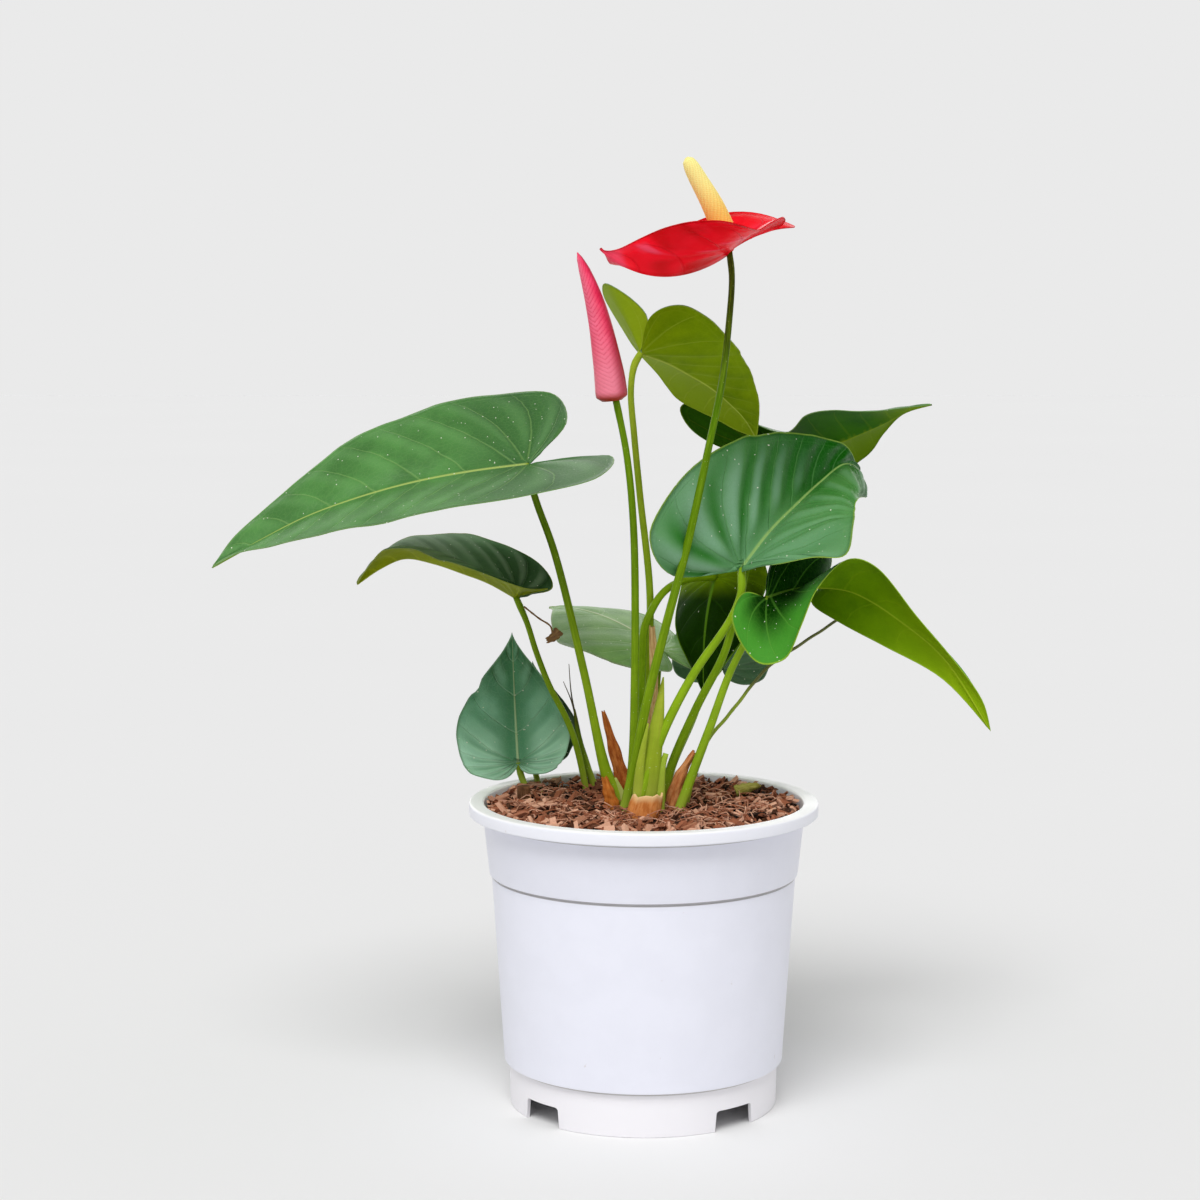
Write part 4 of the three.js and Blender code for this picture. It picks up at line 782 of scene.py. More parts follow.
for title, leaf in leaves.items():
    look, stalk, node = leaf["look"], leaf["stalk"], "leaf_" + title
    leaf.update(veins=look["veins"], bend=look["bend"])
    faces = [bladeMaterial(title + " upper face", look, True),
             bladeMaterial(title + " underside", look, False)]
    bladePiece(title + "_blade", leaf, faces, node + "_blade")
    route = rooted(leaf["route"]) + [leaf.get("foot") or leaf["midrib"][0]]
    mesh = tubeMesh(route, stalkRadius(route, **stalk["size"]))
    addPiece(title + "_stalk", mesh, stalkMaterial(title + " stalk", *stalk["colors"]),
             node + "_stalk")
    for order, growth in enumerate(joinedGrowths.get(title, [])):
        mesh = tubeMesh(growth["route"], growthRadius(growth), sides=24, step=1.5, squeeze=0.75)
        material = stalkMaterial(f"{title} growth {order}", growth["low"], growth["high"])
        addPiece(f"{title}_growth{order}", mesh, material, node + "_stalk")
print("leaves and their stalks ready:", len(leaves))


spathe = dict(
    length=78, lobe=(23, 42), width=(27, 24), splay=-0.15, full=0.41,
    heading=216, pitch=-30, droop=-60, yaw=15, roll=-7, twist=40,
    fold=(33, 28), opening=(26, 19), curl=(-9, -12), back=(42, 42), foot=(34.9, -25, 369.9),
    wave=0.8, ripples=4, quilt=0.35, thickness=0.8, seed=31,
    veins=9, bend=0.16, veinWidth=0.7, midribWidth=1.2)


def spatheMaterial(name, deep, light, sheen, rough):
    # waxy red bract with soft curved veins
    material, tree, shader = newMaterial(name, Specular_IOR_Level=0.03, Coat_Weight=0.1, Coat_Roughness=0.1)
    veins = veinReadings(tree, spathe)
    flat = reading(tree, "flat", "Vector")
    grain = useGroup(tree, mottleGroup, {"Place": flat, "Patch Scale": 0.05, "Speck Amount": 0.0})["Grain"]
    folds = put(tree, "ShaderNodeMapping", {"Vector": flat, "Scale": (0.022, 0.075, 0.1)}).outputs[0]
    folds = noiseAt(tree, folds, 1.0, 2.0, 0.5, 0.6)
    # along the folds the hollows are painted deep, a painted shade, and the ridges in the sheen colour, a
    # painted highlight
    base = blendColor(tree, ramp(tree, folds, 0.3, 0.5, 0.9, 0.0), light, deep)
    base = blendColor(tree, ramp(tree, folds, 0.5, 0.62, 0.0, 0.7), base, sheen)
    base = blendColor(tree, maths(tree, "MULTIPLY", veins["Veins"], 0.2), base, deep)
    base = blendColor(tree, maths(tree, "MULTIPLY", veins["Margin"], 0.5), base, deep)
    height = maths(tree, "MULTIPLY_ADD", veins["Veins"], -0.08, maths(tree, "MULTIPLY", folds, 2.0))
    height = maths(tree, "MULTIPLY_ADD", grain, 0.03, height)
    finishSurface(tree, shader, base, ramp(tree, grain, 0.2, 0.8, *rough), height, 0.9, 2.6)
    return material


spatheFaces = [spatheMaterial("spathe red face", "#c80008", "#f2041c", "#ff4060", (0.25, 0.36)),
               spatheMaterial("spathe red back", "#cc0006", "#ff0c24", "#ff5474", (0.3, 0.4))]
bladePiece("flower_spathe", spathe, spatheFaces, "spathe")

flowerRoute = rooted([(-9, -11, 127.5), (-4.5, -11, 148.5), (1, -15, 178), (9, -21, 212), (18, -27, 248),
                      (26.5, -30, 288.5), (32, -29, 316), (35, -27, 342), (36, -26, 359.5), spathe["foot"]])
addPiece("flower_stalk_piece", tubeMesh(flowerRoute, stalkRadius(flowerRoute, 2.2, 1.2, knuckle=0.1)),
         stalkMaterial("flower stalk", "#7a9c12", "#3c6800", "#241c02", (0.72, 0.92)),
         "flower_stalk")


def stopRadius(stops, t):
    # smooth radius between unevenly spaced (t, mm) stops
    stops = np.array(stops)
    at = np.interp(t, stops[:, 0], np.linspace(0, 1, len(stops)))
    return np.maximum(catmull(stops, at)[..., 1], 0.05)


spadix = {
    "route": [(33.9, -25.2, 372), (32.5, -25, 378), (28, -26, 388.5), (21.2, -26.5, 400.5),
              (16.9, -27, 408.3)],
    "radii": [(0, 0.9), (0.05, 3), (0.1, 4.4), (0.2, 4.8), (0.32, 4.6), (0.44, 4.4), (0.56, 4.1), (0.68, 3.8),
              (0.8, 3.5), (0.9, 3.1), (0.97, 2.3), (1, 0.9)],
    "bumpsRound": 16.0, "bumpRows": 26.0, "bumpHeight": 0.055,
    "low": "#ffd35e", "high": "#fff69c", "gaps": "#f0a428", "tops": "#fff0a0",
}


def spadixRadius(t, angle):
    # small flowers in slanting rows
    row = t * spadix["bumpRows"]
    across = angle / (2 * np.pi) * spadix["bumpsRound"] + 0.5 * row
    bumps = np.cos(2 * np.pi * across) * np.cos(np.pi * row * 2) * 0.5 + 0.5
    return stopRadius(spadix["radii"], t) * (1 + spadix["bumpHeight"] * bumps)


material, tree, shader = newMaterial("spadix yellow", Specular_IOR_Level=0.05)
along, around = reading(tree, "along"), reading(tree, "around")
rowAt = maths(tree, "MULTIPLY", along, spadix["bumpRows"])
crossAt = maths(tree, "MULTIPLY_ADD", around, spadix["bumpsRound"], maths(tree, "MULTIPLY", rowAt, 0.5))
waves = [maths(tree, "COSINE", maths(tree, "MULTIPLY", at, 2 * math.pi)) for at in (crossAt, rowAt)]
cells = maths(tree, "MULTIPLY", *waves)
base = blendColor(tree, ramp(tree, along, 0.1, 0.85), spadix["low"], spadix["high"])
# the gaps between the small flowers are painted darker, a painted shade, and their tops paler, a painted
# highlight
base = blendColor(tree, ramp(tree, cells, -0.8, 0.1, 0.22, 0.0), base, spadix["gaps"])
base = blendColor(tree, ramp(tree, cells, 0.55, 0.95, 0.0, 0.35), base, spadix["tops"])
finishSurface(tree, shader, base, ramp(tree, cells, -1.0, 1.0, 0.6, 0.42), cells, 0.12, 0.3)
mesh = rodMesh(spadix["route"], spadixRadius, 96, 130, capReach=(0.1, 0.2))
addPiece("spadix_piece", mesh, material, "spadix")

# turns are shares of a full turn from the plant's left by way of its front
bud = {
    "route": [(-14, -12, 307.3), (-15.2, -12.5, 318), (-16.7, -13, 327), (-19.4, -13.5, 341.5),
              (-22.3, -14, 353), (-25.2, -14, 361.5), (-28.5, -14, 369.5)],
    "radii": [(0, 4.2), (0.025, 6.3), (0.1, 6.4), (0.25, 5.8), (0.45, 4.9), (0.63, 4.15), (0.76, 3.4),
              (0.88, 2.4), (0.96, 1.3), (1, 0.3)],
    "lap": 0.15, "seamTurn": 0.42, "seamTwist": 0.22, "strokeTurn": 0.2, "strokes": 32.0,
    "strokeSlant": -12.0, "deep": "#ec2c58", "light": "#fb5078", "middle": "#ff94ac", "stroke": "#d4204e",
    "low": "#ff9cae", "shade": "#a80c2c", "base": "#b43c2c", "lapShade": "#8e1620",
}


def budRadius(t, angle):
    # the rolled bract laps over itself along a slowly turning seam
    turn = angle / (2 * np.pi)
    fromSeam = (turn + bud["seamTurn"] + bud["seamTwist"] * t) % 1
    step = smoothStep(fromSeam, 0.0, 0.03)
    lap = bud["lap"] * (fromSeam * step + 1 - step)
    return stopRadius(bud["radii"], t) * (0.94 + lap + 0.012 * np.cos(3 * angle))


material, tree, shader = newMaterial("bud red", Specular_IOR_Level=0.15)
along, around = reading(tree, "along"), reading(tree, "around")
twist = maths(tree, "MULTIPLY_ADD", along, bud["seamTwist"], around)
seamAt, strokeAt = (maths(tree, "FRACT", maths(tree, "ADD", twist, bud[start]))
                    for start in ("seamTurn", "strokeTurn"))
fromMiddle = maths(tree, "ABSOLUTE", maths(tree, "SUBTRACT", strokeAt, 0.5))
level = maths(tree, "MULTIPLY", along, bud["strokes"])
ribs = maths(tree, "PINGPONG", maths(tree, "MULTIPLY_ADD", fromMiddle, bud["strokeSlant"], level), 0.5)
place = stretched(tree, around, 30.0, along, 60.0)
mottle = useGroup(tree, mottleGroup, {"Place": place, "Patch Scale": 0.09, "Speck Amount": 0.0})
grain = mottle["Grain"]
layers = {  # from the first painted to the last
    # the middle colour is a painted highlight down the front
    "middle": ramp(tree, fromMiddle, 0.02, 0.2, 0.45, 0.0),
    "stroke": maths(tree, "MULTIPLY", ramp(tree, ribs, 0.0, 0.3, 0.7, 0.0), ramp(tree, grain, 0.35, 0.55)),
    "low": ramp(tree, along, 0.05, 0.5, 0.6, 0.0),
    # the shade colour is a painted shade down the plant's right side
    "shade": maths(tree, "MULTIPLY", ramp(tree, around, 0.28, 0.42, 0.0, 0.85),
                   ramp(tree, around, 0.56, 0.72, 1.0, 0.0)),
    "base": ramp(tree, along, 0.01, 0.07, 1.0, 0.0),
    # a painted shade along the step where the bract laps over itself
    "lapShade": ramp(tree, seamAt, 0.0, 0.03, 0.9, 0.0),
}
base = blendColor(tree, mottle["Patches"], bud["deep"], bud["light"])
for color, share in layers.items():
    base = blendColor(tree, share, base, bud[color])
height = maths(tree, "MULTIPLY_ADD", grain, 0.1, ribs)
finishSurface(tree, shader, base, ramp(tree, grain, 0.2, 0.8, 0.3, 0.45), height, 0.4, 0.3)
mesh = rodMesh(bud["route"], budRadius, 120, 110, capReach=(0.1, 0.2))
addPiece("bud_piece", mesh, material, "bud_spathe")

budRoute = rooted([(-7.5, -4, 128.5), (-5, -4, 150), (-4, -4, 184), (-4.5, -8, 250.5), (-7.5, -10, 283.5),
                   (-12.4, -12, 308.4)])
addPiece("bud_stalk_piece", tubeMesh(budRoute, stalkRadius(budRoute, 1.9, 1.35, knuckle=0.08)),
         stalkMaterial("bud stalk", "#7ea016", "#648c0c"), "bud_stalk")
print("flower and bud ready")


def dryMaterial(name, deep, light, streak, relief=0.6, fineness=30.0, rim=None, rimAt=(0, 1)):
    material, tree, shader = newMaterial(name, Specular_IOR_Level=0.12)
    around, length = reading(tree, "around"), reading(tree, "length")
    dry = useGroup(tree, fibreGroup, {"Around": around, "Length": length, "Fineness": fineness})
    base = blendColor(tree, dry["Blotches"], deep, light)
    base = blendColor(tree, ramp(tree, dry["Fibres"], 0.5, 0.72, 0.0, 0.5), base, streak)
    if rim:  # a paler torn end
        base = blendColor(tree, ramp(tree, length, *rimAt), base, rim)
    rough = ramp(tree, dry["Fibres"], 0.3, 0.7, 0.6, 0.85)
    finishSurface(tree, shader, base, rough, dry["Fibres"], relief, 0.4)
    return material


def stripMesh(route, foot, top, bow, rows=42, columns=15, ragged=1.6, seed=1, thickness=0.5):
    # a crumpled strip, foot and top mm to each side of its route, bowed by bow mm, with a ragged end
    rng = np.random.default_rng(seed)
    centre, length = routePoints(route, rows)
    along = unit(np.gradient(centre, axis=0))
    side = unit(np.cross(np.tile([0, -1.0, 0], (rows, 1)), along))
    front = np.cross(along, side)
    t, w = np.meshgrid(np.linspace(0, 1, rows), np.linspace(-1, 1, columns), indexing="ij")
    half = foot + (top - foot) * t ** 2.2
    wobble = 1 + 0.1 * np.sin(t * 23 + rng.uniform(0, 6)) * np.abs(w)
    crumple = 0.35 * np.sin(t * 17 + w * 2.3 + rng.uniform(0, 6)) + 0.2 * np.sin(t * 41 - w * 3.1)
    teeth = ragged * rng.uniform(0, 1, (1, columns)) * smoothStep(t, 0.75, 1)
    grid = (centre[:, None] + side[:, None] * (half * w * wobble)[..., None]
            + front[:, None] * (bow * (1 - w * w) + crumple * 0.5)[..., None]
            + along[:, None] * teeth[..., None])
    values = {"around": w * 0.5 + 0.5, "length": t * length, "along": t}
    return *thickenMesh(grid, thickness), {key: np.tile(data.ravel(), 2) for key, data in values.items()}


sheaths = {
    "papery_sheath": dict(
        strip=dict(route=[(2.2, -1, 124), (2.4, -1, 138), (3.2, 0, 160), (4.4, 1, 190), (3.6, 3, 208)],
                   foot=2.6, top=1.2, bow=0.8, seed=3),
        slot="papery_sheath", colors=("#ac8450", "#d0b07a", "#dec894")),
    "brown_sheath_left": dict(
        strip=dict(route=[(-6, 10, 124), (-7.2, 10, 134), (-11.6, 9, 149.5), (-17.3, 7, 170)],
                   foot=3.5, top=0.5, bow=1.4, seed=4),
        slot="brown_sheath", colors=("#a04a18", "#d07a3a", "#e49a5c")),
    "brown_sheath_right": dict(
        strip=dict(route=[(11.5, -6.5, 124), (12.2, -6.5, 132), (15, -6, 143), (21.2, -5, 154.5)],
                   foot=3.3, top=0.7, bow=1.4, seed=5),
        slot="brown_sheath", colors=("#b06232", "#dc945c", "#ecb482")),
    "orange_sheath": dict(
        strip=dict(route=[(-12.8, -4, 123), (-13.2, -3.6, 129), (-15.5, -3, 138), (-16.8, -2, 142.5)],
                   foot=3.4, top=1.2, bow=1.2, seed=6),
        slot="orange_sheath", colors=("#b4601c", "#cc7c34", "#d89050")),
}
for title, sheath in sheaths.items():
    material = dryMaterial(title.replace("_", " "), *sheath["colors"], relief=0.35, fineness=16.0)
    addPiece(title + "_piece", stripMesh(**sheath["strip"]), material, title)

# a round sheath torn off above its bulb: angles in degrees round the foot's middle, the tears at equal steps
tornSheath = {
    "foot": (-2.5, -20, 121), "leanRight": 3.9, "leanBack": 2, "height": 17.5, "radius": 6.6, "bulb": 0.9,
    "taper": 0.5, "flatten": 0.9, "from": 188, "sweep": 164, "thickness": 0.9, "seed": 8,
    "tears": [0, 1.2, -0.4, 0.6, 0.9, 0.3, 1.2, -0.2, 1.4], "raggedness": 0.35,
    "colors": ("#bc6c30", "#d88c4c", "#e4a46c"), "rim": "#ecc48c", "rimAt": (14.5, 18),
}


def tornSheathMesh(rows=30, columns=65):
    torn = tornSheath
    t, turn = np.meshgrid(np.linspace(0, 1, rows), np.linspace(0, 1, columns), indexing="ij")
    angle = np.radians(torn["from"] + torn["sweep"] * turn)
    radius = (torn["radius"] + torn["bulb"] * np.sin(np.pi * t) - torn["taper"] * t
              + 0.15 * np.sin(t * 9 + turn * 12))
    tear = np.interp(turn, np.linspace(0, 1, len(torn["tears"])), torn["tears"])
    frayed = np.random.default_rng(torn["seed"]).uniform(0, 1, (1, columns)) - 0.5
    x, y, z = torn["foot"]
    grid = np.stack([x + torn["leanRight"] * t + radius * np.cos(angle),
                     y + torn["leanBack"] * t + radius * np.sin(angle) * torn["flatten"],
                     z + torn["height"] * t + t * (tear + torn["raggedness"] * frayed)], -1)
    values = {"around": np.tile(turn.ravel() * 2, 2), "length": np.tile(t.ravel() * 18, 2)}
    return *thickenMesh(grid, torn["thickness"]), values


addPiece("torn_sheath_piece", tornSheathMesh(),
         dryMaterial("torn sheath", *tornSheath["colors"], relief=0.2, fineness=10.0, rim=tornSheath["rim"],
                     rimAt=tornSheath["rimAt"]), "torn_sheath")

# dead stalk with two dry hairs, a hanging thread with its scrap, a thin dry stalk
deadRoute = rooted([(-20.5, 43, 128), (-26, 44, 144), (-29, 44, 156), (-30.5, 44, 166.5)])
mesh = tubeMesh(deadRoute, lambda t, a: (1.6 - 1.2 * t ** 5) * (1 + 0.08 * np.sin(5 * a + 20 * t)), 12, 2)
addPiece("dead_stalk_piece", mesh, stalkMaterial("dead stalk", "#7f9a24", "#4c6214", "#4a3a1c"),
         "dead_stalk")
hairRoutes = [[(-30.2, 44, 164), (-32, 44, 174), (-33, 44, 187)],
              [(-30, 44, 163), (-32, 44, 170.5), (-35.5, 44, 179)]]
mesh = joinMeshes([tubeMesh(hair, lambda t, a: 0.4 - 0.25 * t, 8, 1.5) for hair in hairRoutes])
addPiece("dead_stalk_hairs", mesh, dryMaterial("dead stalk hairs", "#4e4434", "#6e6450", "#8a806a"),
         "dead_stalk")

threadRoute = [(-52.7, 28.8, 214.7), (-46, 29.5, 209.3), (-41, 30, 205.8), (-40, 30, 202)]
scrapMesh = stripMesh([(-37, 30.1, 204), (-39.6, 30.1, 201), (-42.3, 30.2, 199.5)], foot=2.2, top=1.0,
                      bow=0.9, rows=14, columns=9, ragged=1.0, seed=5, thickness=0.4)
threadMesh = tubeMesh(threadRoute, lambda t, a: 0.4 + 0.05 * np.sin(30 * t), 8, 1.2)
addPiece("dry_thread_piece", joinMeshes([threadMesh, scrapMesh]),
         dryMaterial("dry thread", "#76563a", "#a07c50", "#b89468"), "dry_thread")

dryRoute = rooted([(19, -2, 132), (22.5, -3, 147), (27, -2, 158.5), (38, 0, 172), (54, 6, 190.5),
                   (67.5, 10, 199.5), (83, 15, 209), (91, 18, 214.5)])
mesh = tubeMesh(dryRoute, lambda t, a: (0.9 - 0.3 * t) * (1 + 0.15 * np.sin(70 * t) * np.cos(3 * a)), 10, 2)
addPiece("dry_stalk_piece", mesh, stalkMaterial("dry stalk", "#96ac3c", "#a0b04c", "#6e6450", (0.52, 0.6)),
         "dry_stalk")

stubRoute = [(-52, 15, 119.5), (-52.2, 15, 129), (-52.5, 15, 136.6)]
mesh = tubeMesh(stubRoute, lambda t, a: (3.3 - 0.6 * t) * (1 + 0.1 * np.sin(3 * a + 1)
                                                           + 0.06 * np.sin(7 * a + 9 * t)), 28, 1)
addPiece("cut_stub_piece", mesh, dryMaterial("cut stub", "#4e3220", "#7c5638", "#9c7850"),
         "cut_stub")

mesh = stripMesh([(41, 22.5, 132.6), (44.5, 23.2, 133.6), (48, 24.5, 134.4), (51, 25.5, 134.9)], foot=2.6,
                 top=1.0, bow=1.4, rows=18, columns=11, ragged=1.5, seed=9)
addPiece("leaf_scrap_piece", mesh, dryMaterial("leaf scrap", "#98943c", "#bab660", "#d4ca84"),
         "leaf_scrap")
print("dry pieces ready")


pot = {
    "segments": 180, "notches": 4, "notchAngle": 41, "notchWidth": 21.6, "notchReach": (52, 64),
    "drains": 6, "drainRadius": 4.5, "drainCircle": 39, "drainSides": 32, "drainHeights": (5, 14),
    # the lip colour is a painted highlight on the top of the rim
    "body": ("#ecedf8", "#eeeffa"), "foot": "#f5f3f7", "rim": "#f1f2fa", "lipHighlight": "#fbfbfd",
    "footTop": (18.5, 20), "rimFrom": (127.6, 127.9), "lipFrom": (132.4, 133.1), "dust": "#b7a596",
    # the dark colour under the ledges is a painted shade
    "ledgeShade": "#a8a49f", "ledges": ((18.3, 19.3), (100.6, 101.8), (126.2, 127.7)), "softEdge": 0.2,
}
# radius, height and rounding of each corner in mm: from the middle of the underside round the outside
# and over the rim to the middle of the floor
potProfile = [
    (0, 0, 0), (22, 0, 0.8), (24, 10, 0.8), (56.8, 10, 0.6), (56.9, 0, 0.4), (58.4, 0, 0.5),
    (58.7, 18.6, 0.2), (58.3, 19.4, 0.2), (61, 19.4, 0.3), (61.1, 21.5, 0.8), (66.2, 100.6, 0.2),
    (65.7, 101, 0.1), (65.7, 101.9, 0.1), (67.2, 101.9, 0.3), (69.7, 125, 0.8), (69.9, 127.8, 0.5),
    (70.7, 131.4, 0.6), (74, 131.4, 0.6), (73.9, 127.8, 0.3), (75.6, 127.8, 0.3), (76, 128.2, 0.3),
    (76, 132.6, 0.4), (75.4, 133.3, 0.3), (70.2, 133.3, 0.4), (69.5, 132.8, 0.5), (68.5, 126, 0.8),
    (65.9, 103.2, 0.5), (64.8, 101.2, 0.5), (59.6, 21.8, 0.5), (57.1, 18.6, 0.5), (57.1, 11.4, 0.5),
    (25, 11.4, 0.8), (23, 1.4, 0.8), (0, 1.4, 0)]


def roundedProfile(corners):
    # each corner becomes a short arc of four points
    line = [corners[0][:2]]
    for before, here, after in zip(corners, corners[1:], corners[2:]):
        p, a, b = (np.array(q[:2], float) for q in (here, before, after))
        cut = min(here[2], np.linalg.norm(a - p) * 0.4, np.linalg.norm(b - p) * 0.4)
        first, second = p + unit(a - p) * cut, p + unit(b - p) * cut
        for w in (0, 0.33, 0.67, 1):
            line.append(tuple((1 - w) ** 2 * first + 2 * w * (1 - w) * p + w * w * second))
    return line + [corners[-1][:2]]


def revolveMesh(line, segments):
    points, rows = [], []
    for r, z in line:
        copies = 1 if r == 0 else segments
        rows.append((len(points), copies))
        for j in range(copies):
            angle = 2 * math.pi * j / segments
            points.append((r * math.cos(angle), r * math.sin(angle), z))
    faces = []
    for (low, lowCount), (high, highCount) in zip(rows, rows[1:]):
        for j in range(segments):
            ring = [low + j % lowCount, low + (j + 1) % lowCount,
                    high + (j + 1) % highCount, high + j % highCount]
            faces.append(tuple(dict.fromkeys(ring)))
    return points, faces


def prism(name, ring):
    # a closed prism from a bottom and a top ring of as many points, to cut with
    count = len(ring) // 2
    faces = [(j, (j + 1) % count, count + (j + 1) % count, count + j) for j in range(count)]
    faces += [tuple(reversed(range(count))), tuple(range(count, 2 * count))]
    shape = bpy.data.meshes.new(name)
    shape.from_pydata([tuple(np.array(p) * mm) for p in ring], [], faces)
    return placeObject(name, shape)


def cutAway(piece, tools):
    for tool in tools:
        cut = piece.modifiers.new(tool.name, "BOOLEAN")
        cut.object, cut.operation, cut.solver = tool, "DIFFERENCE", "EXACT"
    bpy.context.view_layer.update()
    result = bpy.data.meshes.new_from_object(piece.evaluated_get(bpy.context.evaluated_depsgraph_get()))
    piece.modifiers.clear()
    piece.data = result
    for tool in tools:
        bpy.data.objects.remove(tool)


material, tree, shader = newMaterial("pot white plastic", Roughness=0.4, Specular_IOR_Level=0.5)
place = put(tree, "ShaderNodeTexCoord").outputs["Object"]
height = maths(tree, "DIVIDE", put(tree, "ShaderNodeSeparateXYZ", {0: place}).outputs["Z"], mm)
scuff = noiseAt(tree, place, 60.0, 5.0, 0.6)
base = blendColor(tree, ramp(tree, scuff, 0.35, 0.65), *pot["body"])
base = blendColor(tree, ramp(tree, height, *pot["footTop"], 1.0, 0.0), base, pot["foot"])
base = blendColor(tree, ramp(tree, height, *pot["rimFrom"]), base, pot["rim"])
# from lipFrom up the rim is painted paler, a painted highlight where light falls on the lip
base = blendColor(tree, ramp(tree, height, *pot["lipFrom"]), base, pot["lipHighlight"])
for low, high in pot["ledges"]:  # painted shade in the corners under each ledge
    line = maths(tree, "MULTIPLY", ramp(tree, height, low - pot["softEdge"], low),
                 ramp(tree, height, high, high + pot["softEdge"], 1.0, 0.0))
    base = blendColor(tree, maths(tree, "MULTIPLY", line, 0.7), base, pot["ledgeShade"])
dust = noiseAt(tree, place, 260.0, 3.0, 0.7)
base = blendColor(tree, ramp(tree, dust, 0.7, 0.78, 0.0, 0.3), base, pot["dust"])
grain = noiseAt(tree, place, 900.0, 2.0)
finishSurface(tree, shader, base, ramp(tree, scuff, 0.3, 0.7, 0.34, 0.48), grain, 0.12, 0.1)
potMesh = revolveMesh(roundedProfile(potProfile), pot["segments"])
potPiece = addPiece("pot_piece", (*potMesh, {}), material, "pot")

half = pot["notchWidth"] / 2
notchShape = [(-half, -1), (half, -1), (half - 0.8, 8), (half - 1.3, 8.7), (half - 2.2, 9), (2.2 - half, 9),
              (1.3 - half, 8.7), (0.8 - half, 8)]
tools = []
for notch in range(pot["notches"]):
    angle = math.radians(pot["notchAngle"] + 360 / pot["notches"] * notch)
    c, s = math.cos(angle), math.sin(angle)
    tools.append(prism(f"notch{notch}", [(reach * c - side * s, reach * s + side * c, z)
                                         for reach in pot["notchReach"] for side, z in notchShape]))
turns = np.exp(2j * math.pi * np.arange(pot["drainSides"]) / pot["drainSides"])
for hole in range(pot["drains"]):
    ring = pot["drainCircle"] * np.exp(2j * math.pi * hole / pot["drains"]) + pot["drainRadius"] * turns
    tools.append(prism(f"drain{hole}", [(p.real, p.imag, z) for z in pot["drainHeights"] for p in ring]))
cutAway(potPiece, tools)
potPiece.data.set_sharp_from_angle(angle=math.radians(35))
print("pot ready")


# the mix fills the pot inside its wall: radius and height of the wall's corners downwards
growingMix = {
    "top": 130.4, "mound": 0.6, "moundRadius": 34, "edge": 68.4, "seed": 41, "rows": 46, "columns": 132,
    "wall": [(65.4, 103.6), (64.3, 101.4), (59.1, 22.2), (56.6, 18.8), (56.6, 11.9), (24.4, 11.9),
             (22.4, 1.9)],
    # the darkest colour is partly the husk's dark tone and partly painted shade between and under the chips;
    # the palest is partly pale tone and partly painted light on the highest chips
    "gap": "#140602", "bark": "#a26246", "cut": "#e4b094", "stain": "#bc7c56", "hair": "#cc9068",
}
# loose pieces of husk: how many, how far from the middle, sizes in mm
chips = {"count": 1500, "reach": 69, "tilt": 0.45, "rimFrom": 54, "rimTo": 66, "rimLift": 1.3}
fibres = {"count": 420, "reach": 58, "limit": 67, "shortest": 4, "longest": 15, "bow": 0.45}


def mixHeight(r):
    return growingMix["top"] + growingMix["mound"] * np.exp(-(r / growingMix["moundRadius"]) ** 2)


def huskBed(rng):
    # an uneven surface and, below it, the wall and the underside of the mix
    rows, columns = growingMix["rows"], growingMix["columns"]
    radius = np.linspace(0.3, growingMix["edge"], rows)[:, None]
    angle = np.linspace(0, 2 * np.pi, columns, endpoint=False)
    x, y = radius * np.cos(angle), radius * np.sin(angle)
    rough = 0.5 * np.sin(x * 0.9 + 1) * np.cos(y * 0.8) + 0.35 * np.sin(x * 2.1 + y * 1.7)
    rough = rough + 0.6 * rng.uniform(-1, 1, x.shape)
    rings = [np.stack([x, y, mixHeight(radius) - 2.0 + rough], -1).reshape(-1, 3)]
    for r, z in growingMix["wall"]:
        rings.append(np.stack([r * np.cos(angle), r * np.sin(angle), np.full(columns, z)], -1))
    points = np.vstack(rings)
    faces = [tuple(range(columns)), tuple(range(len(points) - columns, len(points)))]
    for low in range(0, len(points) - columns, columns):
        high = low + columns
        quads = [(high + j, high + (j + 1) % columns, low + (j + 1) % columns, low + j) for j in range(columns)]
        # the surface and the wall are split along different diagonals
        faces += quads if high < rows * columns else [quad[3:] + quad[:3] for quad in quads]
    # the bed under the chips is painted almost the darkest colour, a painted shade between the chips
    return points, faces, {"shade": np.clip(rng.normal(0.05, 0.06, len(points)), 0, 1)}


def turned(points, yaw, tilt, roll):
    cy, sy, ct, st, cr, sr = (f(a) for a in (yaw, tilt, roll) for f in (math.cos, math.sin))
    spin = np.array([[cy, -sy, 0], [sy, cy, 0], [0, 0, 1]])
    lean = np.array([[1, 0, 0], [0, ct, -st], [0, st, ct]])
    bank = np.array([[cr, 0, sr], [0, 1, 0], [-sr, 0, cr]])
    return points @ (spin @ lean @ bank).T


